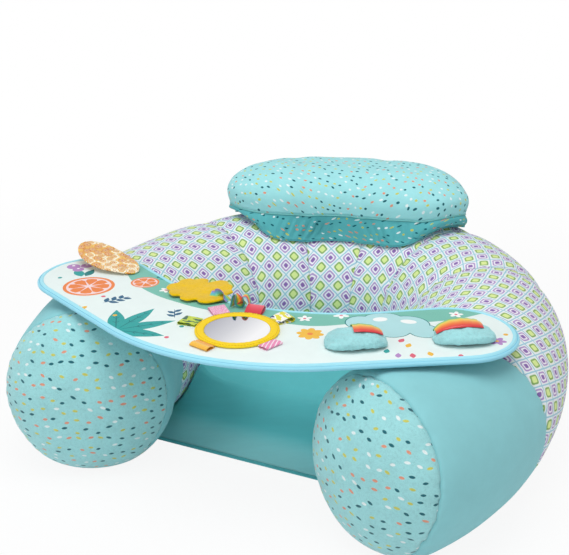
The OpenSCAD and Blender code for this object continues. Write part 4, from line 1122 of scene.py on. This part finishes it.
def slice_of_fruit(x, y, r, parts, turn):
    """Round cut face with its segments."""
    wedge = np.array([[0.12, 0.0], [0.56, -0.225], [0.75, -0.19], [0.79, 0], [0.75, 0.19], [0.56, 0.225]]) * r
    return [(disc(x, y, r, 44), "orange"), (disc(x, y, 0.87 * r, 40), "blush")] + [
        (turned(wedge * [1, 8 / parts], x, y, turn + 360 * i / parts), "orange") for i in range(parts)]


def sprig(x, y, turn, ink, pairs=3, leaf=15.0):
    out = [(petal(x, y, 11 * pairs + 8, 1.5, turn), ink)]
    for k in range(pairs):
        for side in (1, -1):
            at_stem = ray(x, y, turn, 5 + 10.5 * k + 4 * (side < 0))
            out.append((petal(*at_stem, leaf - 1.5 * k, 0.46 * leaf, turn + side * 50), ink))
    return out


INK = {"ground": "#ecf8f6", "band": "#7cc2b2", "teal": "#2fa3a0", "navy": "#2c6486", "orange": "#f0894a",
       "blush": "#fbe0e2", "sky": "#b5e2e6", "lilac": "#b98bc8", "sun": "#f4bf48", "white": "#fbfdfc",
       "rose": "#e2667c", "vein": "#1f7f80"}
MIXED = ("rose", "sun", "teal", "lilac")


def tray_drawing():
    """A garden of generic leaves, fruit, clouds and flowers in the cloth's colours."""
    low = spline([(-236, 0), (-224, -40), (-205, -70), (-183, -91), (-157, -108), (-127, -122), (-94, -131),
                  (-56, -138), (0, -143), (53, -141), (80, -138), (100, -130), (125, -114), (160, -96), (200, -79),
                  (230, -60), (254, -38), (280, -4)], 6)
    art = [(np.concatenate([low, [[280, 120], [-236, 120]]]), "band")]
    art += slice_of_fruit(-233, -124, 34, 8, 22.5)
    art += [(petal(-262, -96, 30, 14, 138), "teal"), (petal(-258, -93, 26, 12, 96), "vein")]
    art += slice_of_fruit(-171, -84, 19, 6, 10)
    art += [(petal(-160, -66, 20, 9, 38), "teal"), (petal(-164, -64, 17, 8, 82), "vein")]
    for x, y, r in ((-293, -68, 9.5), (-278, -58, 8.5), (-281, -75, 8)):
        art += [(disc(x, y, r, 20), "lilac"), (disc(x - 2, y + 3, 0.24 * r, 10), "white")]
    for turn, length in ((6, 62), (44, 74), (82, 76), (120, 62)):
        art.append((petal(-126, -234, length, 21, turn, 18), "teal"))
        art.append((petal(-126, -234, length * 0.88, 1.8, turn), "vein"))
        for k in (0.34, 0.55, 0.74):
            for side in (1, -1):
                art.append((petal(*ray(-126, -234, turn, k * length), 9.5 - 4 * k, 1.3, turn + side * 38), "vein"))
    art += sprig(-186, -168, 58, "navy")
    art += sprig(-78, -176, 118, "navy", 2, 13)
    lobes = ((138, -104, 19), (162, -90, 26), (192, -88, 25), (215, -100, 18), (178, -110, 22), (154, -112, 18))
    for grow, ink in ((1.3, "vein"), (0, "sky")):
        art += [(disc(x, y, r + grow, 36), ink) for x, y, r in lobes]
    art += [(disc(156, -86, 9, 20, 0.7, 30), "white"), (disc(190, -80, 10, 20, 0.6, 10), "white")]
    for i, (x, y) in enumerate(((196, -142), (208, -152), (190, -176), (206, -182), (222, -176), (240, -164))):
        art.append((petal(x, y, 12, 7, 80 + 8 * i), MIXED[i % 4]))
    art += flower(92, -158, 16, 8, "sun", "orange", 12)
    for x, y, r, turn in ((-132, -98, 9, 10), (70, -118, 9, 40), (108, -92, 10, 0), (238, -36, 9, 25)):
        art += flower(x, y, r, 5, "white", "rose", turn)
    art += flower(-204, -196, 13, 6, "sun", "orange", 0)
    art += flower(300, -96, 11, 6, "lilac", "sun", 10)
    art += sprig(100, -66, 10, "vein", 2, 11)
    for i, (x, y) in enumerate(((-196, -148), (-250, -172), (-58, -196), (128, -148), (270, -150), (-150, -196),
                                (-286, -112), (66, -196), (-60, -230), (306, -74))):
        art.append((disc(x, y, 3.0, 12), MIXED[i % 4]))
    return [(ring, list(INK).index(ink)) for ring, ink in art]


def edge_distance(ring, x, y):
    return np.array([np.min(np.linalg.norm(ring - q, axis=1)) for q in np.stack([x, y], -1)])


def tray_pieces():
    looks = []
    for ink, code in INK.items():
        m = Look("tray_print_" + ink, rough=0.72, sheen=0.1)
        looks.append(cloth_finish(m, m.coords(), code, pitch=0.8, vary=0.03))
    ring = tray_outline(-PIPE - GAP + 1.2)

    def height(x, y):
        return TRAY_TOP - (0.35 * humps(x / 55, y / 55, 12) + 0.9 * np.exp(-(edge_distance(ring, x, y) / 3.0) ** 2))

    top = slab("tray_top_cloth", ring, height, 1.0, looks, "tray", shapes=tray_drawing(), spacing=11, place=on_tray)
    stand_in(top, "tray_print", "tray_top")
    low = slab("tray_underside_cloth", ring, lambda x, y: 0 * x + TRAY_Z + 1.2, 1.1,
               plain_cloth("tray_backing", "#8fd0d4"), "tray", spacing=16, place=on_tray)
    stand_in(low, "tray_backing", "tray_underside")
    stand_in(tray_piping(piping_painted_light("piping_cloth", GIRTH)), "piping", "tray_piping")


tray_pieces()

# ---- mirror and ribbons ----

MIRROR_X, MIRROR_Y, MIRROR_R, FRAME_W, FRAME_H = 9.5, 183.5, 39.4, 11.2, 4.0
FRAME_R, STITCH_IN = MIRROR_R + FRAME_W, 2.3


def at(x, y, z, turn, flip=1.0, rise=0.0):
    """Takes a toy's own drawing to its place on the tray."""
    def place(p):
        p = np.asarray(p, float)
        tilted = turned(p[..., [0, 2]], 0, z, rise)
        flat = turned(np.stack([tilted[..., 0], p[..., 1] * flip], -1), x, y, turn)
        return on_tray(np.concatenate([flat, tilted[..., 1:]], -1))
    return place


def on_mirror(turn=0):
    return at(MIRROR_X, -MIRROR_Y, TRAY_TOP, turn)


def ribbon(name, path, side, width, thick, mats, body, place):
    """A folded band of cloth along path; side gives its width direction at each point."""
    side = unit(np.broadcast_to(side, path.shape))
    normal = unit(np.cross(np.gradient(path, axis=0), side), 1e-9)
    v = np.linspace(-0.5, 0.5, 9)
    mid = path[:, None] + side[:, None] * (v * width)[None, :, None]
    half = normal[:, None] * thick / 2
    s = run_length(path)
    shape = Shape()
    shape.strap(place(mid + half), place(mid - half), flat_grid(s[:, None], (v + 0.5)[None] * width))
    obj = shape.make(name, mats, body, sharp=55)
    return obj


def mirror_ring(mats):
    turn, a = np.linspace(0, 360, 181)[:-1], np.linspace(0, 360, 29)[:-1]
    r = MIRROR_R + FRAME_W / 2 + FRAME_W / 2 * rounded(cs(a), 0.75)
    z = FRAME_H / 2 + FRAME_H / 2 * rounded(sn(a), 0.62)
    wave = ripple(np.arange(180) * 1.57 / 7.0, 91)
    wave[:8] = mix(wave[-1], wave[8], np.linspace(0, 1, 8))
    seam = 0.5 * np.exp(-((r - MIRROR_R - FRAME_W + STITCH_IN) / 0.75) ** 2)[None] * (sn(a) > 0)[None]
    drop = 0.85 * seam + (np.maximum(0, sn(a)) ** 0.5)[None] * (0.22 + 0.2 * wave[:, None])
    g = np.stack([r * cs(turn)[:, None], r * sn(turn)[:, None], np.maximum(z - drop, 0.25)], -1)
    uv = flat_grid(np.linspace(0, 2 * math.pi * 45, 181)[:, None], np.linspace(0, 31, 29)[None])
    shape = Shape()
    shape.grid(on_mirror()(np.concatenate([g, g[:1]])), uv, closed=True)
    obj = shape.make("mirror_frame_cloth", mats, "tray", weld=True)
    return obj


def stitches(name, path, mats, body, length=2.6, gap=1.0, radius=0.28):
    """Short stitches along a closed path already in the model's frame."""
    shape = Shape()
    ring = np.linspace(0, 2 * math.pi, 7)[:-1, None]
    start, long = 0.0, run_length(path)[-1]
    while start + length < long:
        mid = points_at(path, start + length * np.array([0, 0.12, 0.5, 0.88, 1]))
        mid[:, 2] += radius * np.array([-0.9, 0.2, 0.6, 0.2, -0.9])
        t = unit(mid[-1] - mid[0])
        side = np.cross(t, [0, 0, 1.0])
        r = radius * np.array([0.5, 0.9, 1, 0.9, 0.5])[:, None, None]
        uv = np.zeros((5, 7, 2)) + start
        ids = shape.grid(mid[:, None] + r * (side * np.cos(ring) + np.cross(side, t) * np.sin(ring)), uv, closed=True)
        shape.fan(ids[0], uv[0], mid[0], flip=True)
        shape.fan(ids[-1], uv[-1], mid[-1])
        start += length + gap
    return shape.make(name, mats, body)


def tag(word, turn, long, mats, puff, skew, crumple=0.0, seed=0, width=21.4):
    """A ribbon tag, folded double and sewn under the mirror's frame."""
    tall, thick, low, end = 3.0, 0.55, 0.42, long - 2.0
    x = np.linspace(0.2, end, 14)
    a = np.linspace(-80, 80, 9)
    rad = (tall - 0.9) / 2 + puff * 0.55
    fold = np.stack([end + (rad + 0.4) * cs(a), low + rad + rad * sn(a)], -1)
    over = x[::-1]
    top = low + 2 * rad + (tall - 0.5 - 2 * rad - low) * (1 - (over / end) ** 1.5)
    top += puff * 0.5 * np.sin(np.pi * over / long)
    p = np.concatenate([np.stack([x, low + 0 * x], -1), fold, np.stack([over, top], -1)])
    f = np.clip(p[:, 0] / long, 0, 1)
    path = np.stack([p[:, 0] + FRAME_R + GAP, skew * f ** 1.6,
                     p[:, 1] + crumple * ripple(p[:, 0] / 5.0, seed) * (p[:, 1] > 1.5)], -1)
    side = np.stack([-skew * 0.02 * f, 1 + 0 * f, 0.02 * skew * f], -1)
    obj = ribbon("tag_%s_cloth" % word, path, side, width, thick, mats, "tray", on_mirror(turn))
    stand_in(obj, "ribbon_" + word.split("_")[0], "tag_" + word)


stand_in(mirror_ring(plain_cloth("mirror_frame_yellow", "#f9d61e", pitch=0.8, vary=0.02)), "yellow_fabric",
         "mirror_frame")
a = np.linspace(0, 360, 241)
seam = on_mirror()(np.stack([(FRAME_R - STITCH_IN) * cs(a), (FRAME_R - STITCH_IN) * sn(a), 0 * a + FRAME_H - 0.55], -1))
stitches("mirror_stitches", seam, plain_cloth("stitch_yellow", "#e2b90f", "Object"), "tray")
tag("lime", 178, 24, blotched("tag_lime_print", "#c6d83a", [
    ("#225f43", 0.53, 0.8, 3.1), ("#8fb53a", 0.0, 0.36, 8.2)], 9.0, (0.8, 1.6)), 0.9, 1.5)
tag("pink_rear", 136, 26, blotched("tag_pink_glitter", "#ee9fc4", [
    ("#fbe0ec", 0.56, 0.9, 1.0), ("#d97fae", 0.0, 0.38, 5.0)], 1.4), 0.7, -1.5)
tag("red", 93, 18, satin("tag_red_satin", ["#dd3047", "#e8465a", "#f4a0b6", "#e85a6c", "#d22a40"], "x", 40.0), 4.0, 0.5)
tag("yellow", 53, 21, blotched("tag_yellow_print", "#e6dd34", [
    ("#fbfbf4", 0.5, 0.64, 2.2), ("#1f3f7a", 0.64, 0.9, 2.2), ("#8fb83a", 0.0, 0.33, 9.0)], 10.0, (1.6, 0.7)),
    3.4, -1.2)
tag("orange", 251, 15, satin("tag_orange_satin", ["#f7b52a", "#f09a18", "#f8c23c", "#ef9a1c"], "x", 30.0, 0.25),
    1.2, 1.0, 0.5, 17, 27.0)
tag("pink_front", 335, 14, striped("tag_pink_stripes", "#f08fbb", "#fbe4ef", 4.6, 32, 0.32), 0.6, 0.8, width=25.0)


def even_path(points, n):
    """Even points along a curve through the given ones."""
    path = spline(points, 12)
    return points_at(path, np.linspace(0, run_length(path)[-1], n))


def turning(path, spins):
    """Width directions that start level and spin about the path; spins are degrees at each point."""
    t = unit(np.gradient(path, axis=0))
    level = np.array([0, 1.0, 0])
    base = unit(level - t * (level * t).sum(1, keepdims=True))
    return base * cs(spins)[:, None] + np.cross(t, base) * sn(spins)[:, None]


path = even_path([(13, -1, 1.0), (15.5, 0, 4), (16, 0, 11), (12, 0, 18), (5.5, 0, 17.5), (2.5, 0, 11), (0.5, 0, 4.5),
                  (-2.5, 0, 5), (-4.5, 0, 13), (-8.5, 0, 18.5), (-12, 0, 12), (-13.5, 0, 5), (-15.5, 0, 1.2)], 90)
path[:, 0] = 0.74 * path[:, 0] + 1.5
spin = 200 * np.clip((np.linspace(0, 1, 90) - 0.42) / 0.34, 0, 1)
rainbow = satin("rainbow_ribbon", ["#e2353f", "#f0742f", "#f6c93a", "#7fbf5a", "#45b8c2", "#8d6fc0"])
loop = ribbon("ribbon_loop_cloth", path, turning(path, spin), 11.0, 0.5, rainbow, "tray", at(-17.5, -118, TRAY_TOP, 10))
stand_in(loop, "rainbow_satin", "ribbon_loop")

# ---- crinkle flap ----

CRINKLE_L, CRINKLE_W = 105.0, 60.0


def oval(g):
    a = np.linspace(0, 360, 97)[:-1]
    return np.stack([CRINKLE_L / 2 + (CRINKLE_L / 2 + g) * cs(a), (CRINKLE_W / 2 + g) * sn(a) * (1 + 0.16 * cs(a))], -1)


def crackle(x, y):
    """Sharp little folds, as stiff film makes under cloth."""
    fold = np.abs(lumps(x / 17, y / 17, 33)) + 0.6 * np.abs(lumps(x / 9, y / 9, 34))
    bow = 0.0016 * (x - 45) ** 2 - 0.004 * np.maximum(0, np.abs(y) - 12) ** 2
    return (0.8 * (0.8 - fold) + bow) * np.clip(x / 22, 0, 1) ** 1.5


def between(low, high):
    """Height of a layer, low at the rim and high inside it."""
    def top(x, y):
        near = 1 - np.exp(-edge_distance(oval(0), x, y) / 2.2)
        return 1.35 + mix(low, high, near) + crackle(x, y)
    return top


rings_mat = rings_print("crinkle_print")
for name, end, slot, g, low, high, thick, mats in (
        ("crinkle_top", "cloth", "crinkle_print", 0, 0.75, 1.45, 0.6, rings_mat),
        ("crinkle_film", "sheet", "crackle_film", -4, 0.05, 0.2, 0.25, shell_plastic("crackle_film", "#f2f3f0", 0.25)),
        ("crinkle_back", "cloth", "crinkle_print", 0, 0.05, -0.65, 0.6, rings_mat)):
    obj = slab("%s_%s" % (name, end), oval(g), between(low, high), thick, mats, "crinkle_flap", spacing=3.2,
               place=at(-198, -61, TOY_Z, 164, rise=9))
    stand_in(obj, slot, name)

# ---- leaf flap ----

LEAF_OUTLINE = [
    (8, -9), (5, 2), (9, 14), (19, 25), (30, 27), (37, 22), (46, 29), (57, 27), (62, 20), (71, 23), (80, 17), (84, 8),
    (92, 3), (94, -8), (88, -17), (88, -29), (80, -38), (72, -38), (66, -46), (56, -45), (51, -36), (46, -42),
    (40, -50), (30, -50), (23, -42), (16, -38), (12, -28), (6, -20)]
LEAF_T, LEAF_ROUND, LEAF_LOW, LEAF_Z = 3.4, 2.2, 0.9, TOY_Z + 0.9
VEINS = [([(6, -9), (30, -12), (60, -12), (86, -7)], 0.8, 1.0)] + [
    ([(x0, -12), (x1 + (x0 - x1) * 0.35, -12 + (y1 + 12) * 0.6), (x1, y1)], 0.7, 0.8) for x0, x1, y1 in (
        (24, 14, 12), (24, 12, -30), (40, 32, 20), (40, 30, -42), (56, 54, 20), (56, 60, -38), (70, 76, 14),
        (70, 80, -30))]


def dense(ring, k, closed=True):
    step = np.roll(ring, -1, 0) - ring
    if not closed:
        ring, step = ring[:-1], step[:-1]
    return np.concatenate([ring + step * f for f in np.linspace(0, 1, k, endpoint=False)])


def leaf(mats, place):
    """A thin stuffed leaf with rounded edges and stitched veins."""
    ring = anticlockwise(spline(LEAF_OUTLINE, 7, closed=True))
    t = unit(along_ring(ring), 1e-9)
    inward = np.stack([-t[:, 1], t[:, 0]], -1)
    extra = [q for off in (0.5, 1.3, 2.4) for q in ring + inward * off if inside(q, ring, 0.85 * off)]
    pts, tris, _ = fill_outline(ring, 3.4, extra=extra)
    x, y = pts.T
    near = edge_distance(dense(ring, 4), x, y)
    near[near < 0.12] = 0
    lift = np.sqrt(np.maximum(0, 1 - (1 - np.minimum(near / LEAF_ROUND, 1)) ** 2))
    mid = LEAF_LOW + LEAF_T / 2 + 0.5 * lumps(x / 34, y / 34, 8)
    cut = 0 * x
    for line, width, depth in VEINS:
        d = edge_distance(dense(np.array(line, float), 12, False), x, y)
        cut = np.maximum(cut, depth * np.exp(-(d / width) ** 2))
    up = np.maximum(LEAF_T / 2 * lift - cut, 0.08 * lift)
    shape = Shape()
    a = shape.points(place(np.column_stack([pts, mid + up])))
    b, rim = a.copy(), near == 0
    b[~rim] = shape.points(place(np.column_stack([pts, mid - up * 0.9])[~rim]))
    for t in tris:
        shape.face(a[t], pts[t])
        if not all(rim[t]):
            shape.face(b[t][::-1], pts[t][::-1])
    obj = shape.make("leaf_cloth", mats, "leaf", weld=True)
    return obj


stand_in(leaf(velour("leaf_felt", "#f6c900", depth=0.25, vary=0.12), at(-38, -102, LEAF_Z, 177)), "leaf_felt",
         "leaf_flap")
path = even_path([(1.5, 0, 0.5), (5, 0, 3.8), (9, 0, 8.5), (15, 1, 8.6), (20, 2, 6.0), (26, 2, 5.6)], 46)
spin = 150 * np.clip(np.linspace(-0.2, 1.15, 46), 0, 1)
leaf_tab = ribbon("leaf_ribbon_cloth", path, turning(path, spin), 12.0, 0.5,
                  satin("leaf_rainbow", ["#e8d23c", "#9ccb52", "#4fc0b8", "#6a9fd4", "#a56fc0"]), "leaf",
                  at(-38, -104, LEAF_Z, 177))
stand_in(leaf_tab, "rainbow_satin", "leaf_ribbon")

# ---- plush flaps ----

PLUSH_L, PLUSH_W, PLUSH_H = 72.0, 44.0, 21.0


def plush_point(f, a):
    k = np.maximum(0.04, 4 * f * (1 - f)) ** 0.32
    c, s = cs(a), sn(a)
    front = np.maximum(0, -c)
    y = PLUSH_W / 2 * k * rounded(c) - 2.5 * k * front
    z = PLUSH_H * k * (0.5 + 0.5 * rounded(s)) * (1 - 0.12 * np.maximum(0, c)) * (1 - 0.14 * front)
    return np.stack(np.broadcast_arrays(PLUSH_L * f, y, np.maximum(0.3, z)), -1)


def plush_flap(side, x, y, turn, flip, seed, first, last, proud):
    """A plush flap with a satin lining over its rear from the share first to last of its length."""
    place, body = at(x, y, TOY_Z, turn, flip), side + "_plush_flap"
    f = 0.5 - 0.5 * np.cos(np.linspace(0.03, 0.97, 40) * math.pi)[:, None]
    g = plush_point(f, np.linspace(-90, 270, 65)[None, :-1])
    n = grid_normals(g, True)
    wave = sum(w * lumps(g[..., 0] / q, (g[..., 1] + g[..., 2]) / q, seed + i)
               for i, (w, q) in enumerate(((0.9, 24), (0.5, 10), (0.3, 5))))
    g = g + n * ((wave - 0.6) * (g[..., 2] > 1.5))[..., None]
    g[..., 2] = np.maximum(g[..., 2], 0.3) + 2.6 * np.sin(np.pi * f) * (g[..., 2] < 1.2)
    uv = wrapped(flat_grid(run_length(g, 0), run_length(g, 1)), [0, 100])
    shape = Shape()
    ids = shape.grid(place(g), uv, closed=True)
    for end, x in ((0, 0.0), (-1, PLUSH_L)):
        shape.fan(ids[end], uv[end], place(np.array([x, 0, 3.0])), flip=end == 0)
    obj = shape.make("plush_flap_" + side + "_cloth", plush, body)
    stand_in(obj, "plush_flap", "plush_flap_" + side)

    f, v = np.linspace(first, last, 40)[:, None], np.linspace(0, 1, 17)
    proud_at = np.sin(np.pi * np.clip((f - first + 0.03) / (last - first + 0.06), 0, 1)) ** 0.45
    rise = 0.9 + proud * (np.sin(np.pi * v) ** 0.8)[None] * proud_at
    rise = rise + 0.35 * ripple(f * 7, seed + 5) * np.sin(np.pi * v)[None]
    g = plush_point(f, mix(20, 106, v)[None, :])
    n = grid_normals(g)
    n = -n if n[20, 8, 2] < 0 else n
    outer, inner = g + n * rise[..., None], g + n * (rise - 0.5)[..., None]
    outer[..., 2], inner[..., 2] = np.maximum(outer[..., 2], 1.0), np.maximum(inner[..., 2], 0.5)
    shape = Shape()
    shape.strap(place(outer), place(inner), flat_grid(run_length(outer, 0), v[None] * 30.0))
    strip = shape.make("plush_lining_" + side + "_cloth", lining, body)
    stand_in(strip, "rainbow_satin", "plush_lining_" + side)


plush = velour("plush_flap", "#b2f2f6", depth=1.1, vary=0.12)
lining = satin("plush_lining", ["#5fae4e"] * 7 + ["#8cc44c", "#e9d23c", "#f6b52e", "#ee7a2c", "#df4038", "#d8323c"],
               "y", 30.0, 0.3)
plush_flap("left", 232, -126, 27, 1.0, 5, 0.04, 0.78, 3.2)
plush_flap("right", 184, -153, 207, -1.0, 9, 0.08, 0.55, 1.8)

# ---- stage and light ----

def lamp(name, place, aim, size, watts):
    data = bpy.data.lights.new(name, "AREA")
    data.shape, data.size, data.energy = "DISK", size, watts
    aimed(data, name, place, Vector(place) - Vector(aim))


def make_stage():
    """A white floor that fades into a white room, and three lamps."""
    bpy.ops.mesh.primitive_plane_add(size=14, location=(0, 0, -0.0006))
    floor = bpy.context.object
    floor.name = "floor"
    m = Look("floor_paper", rough=0.9, spec=0.0)
    m.done(m.ramp(m.noise(m.coords("Object"), 3, 2), [(0.3, "#f6f6f7"), (0.7, "#f8f8f9")]))
    rays = m.node("LightPath", {}).outputs
    camera, glossy, through = (rays["Is %s Ray" % kind] for kind in ("Camera", "Glossy", "Transmission"))
    seen = m.math("MAXIMUM", m.math("MAXIMUM", camera, glossy), through)
    glow = m.node("Emission", {"Color": (1, 1, 1, 1), "Strength": 1.0})
    share = m.mul(seen, m.spread(m.vector("LENGTH", m.coords("Object"))["Value"], 0.4, 1.5, 0.9, 1.0))
    join = m.node("MixShader", {0: share, 1: m.bsdf.outputs[0], 2: glow.outputs[0]})
    m.plug(m.tree.nodes["Material Output"].inputs["Surface"], join.outputs[0])
    floor.data.materials.append(m.mat)

    world = bpy.data.worlds.new("studio")
    scene.world = world
    world.use_nodes = True
    tree = world.node_tree
    back = tree.nodes["Background"]
    back.inputs["Color"].default_value = (1, 1, 1, 1)
    path, seen, level = (tree.nodes.new("ShaderNode" + kind) for kind in ("LightPath", "Math", "MapRange"))
    seen.operation = "MAXIMUM"
    level.inputs[3].default_value, level.inputs[4].default_value = 0.42, 1.0
    for out, into in ((path.outputs["Is Camera Ray"], seen.inputs[0]), (path.outputs["Is Glossy Ray"], seen.inputs[1]),
                      (seen.outputs[0], level.inputs[0]), (level.outputs[0], back.inputs["Strength"])):
        tree.links.new(out, into)
    lamp("key", (0.2, -0.6, 2.1), (0, 0, 0.1), 1.5, 22)
    lamp("left_fill", (-1.2, -2.1, 1.2), (0, -0.1, 0.15), 1.4, 12)
    lamp("right_fill", (2.1, -0.9, 0.9), (0.1, 0, 0.15), 1.4, 3)


make_stage()
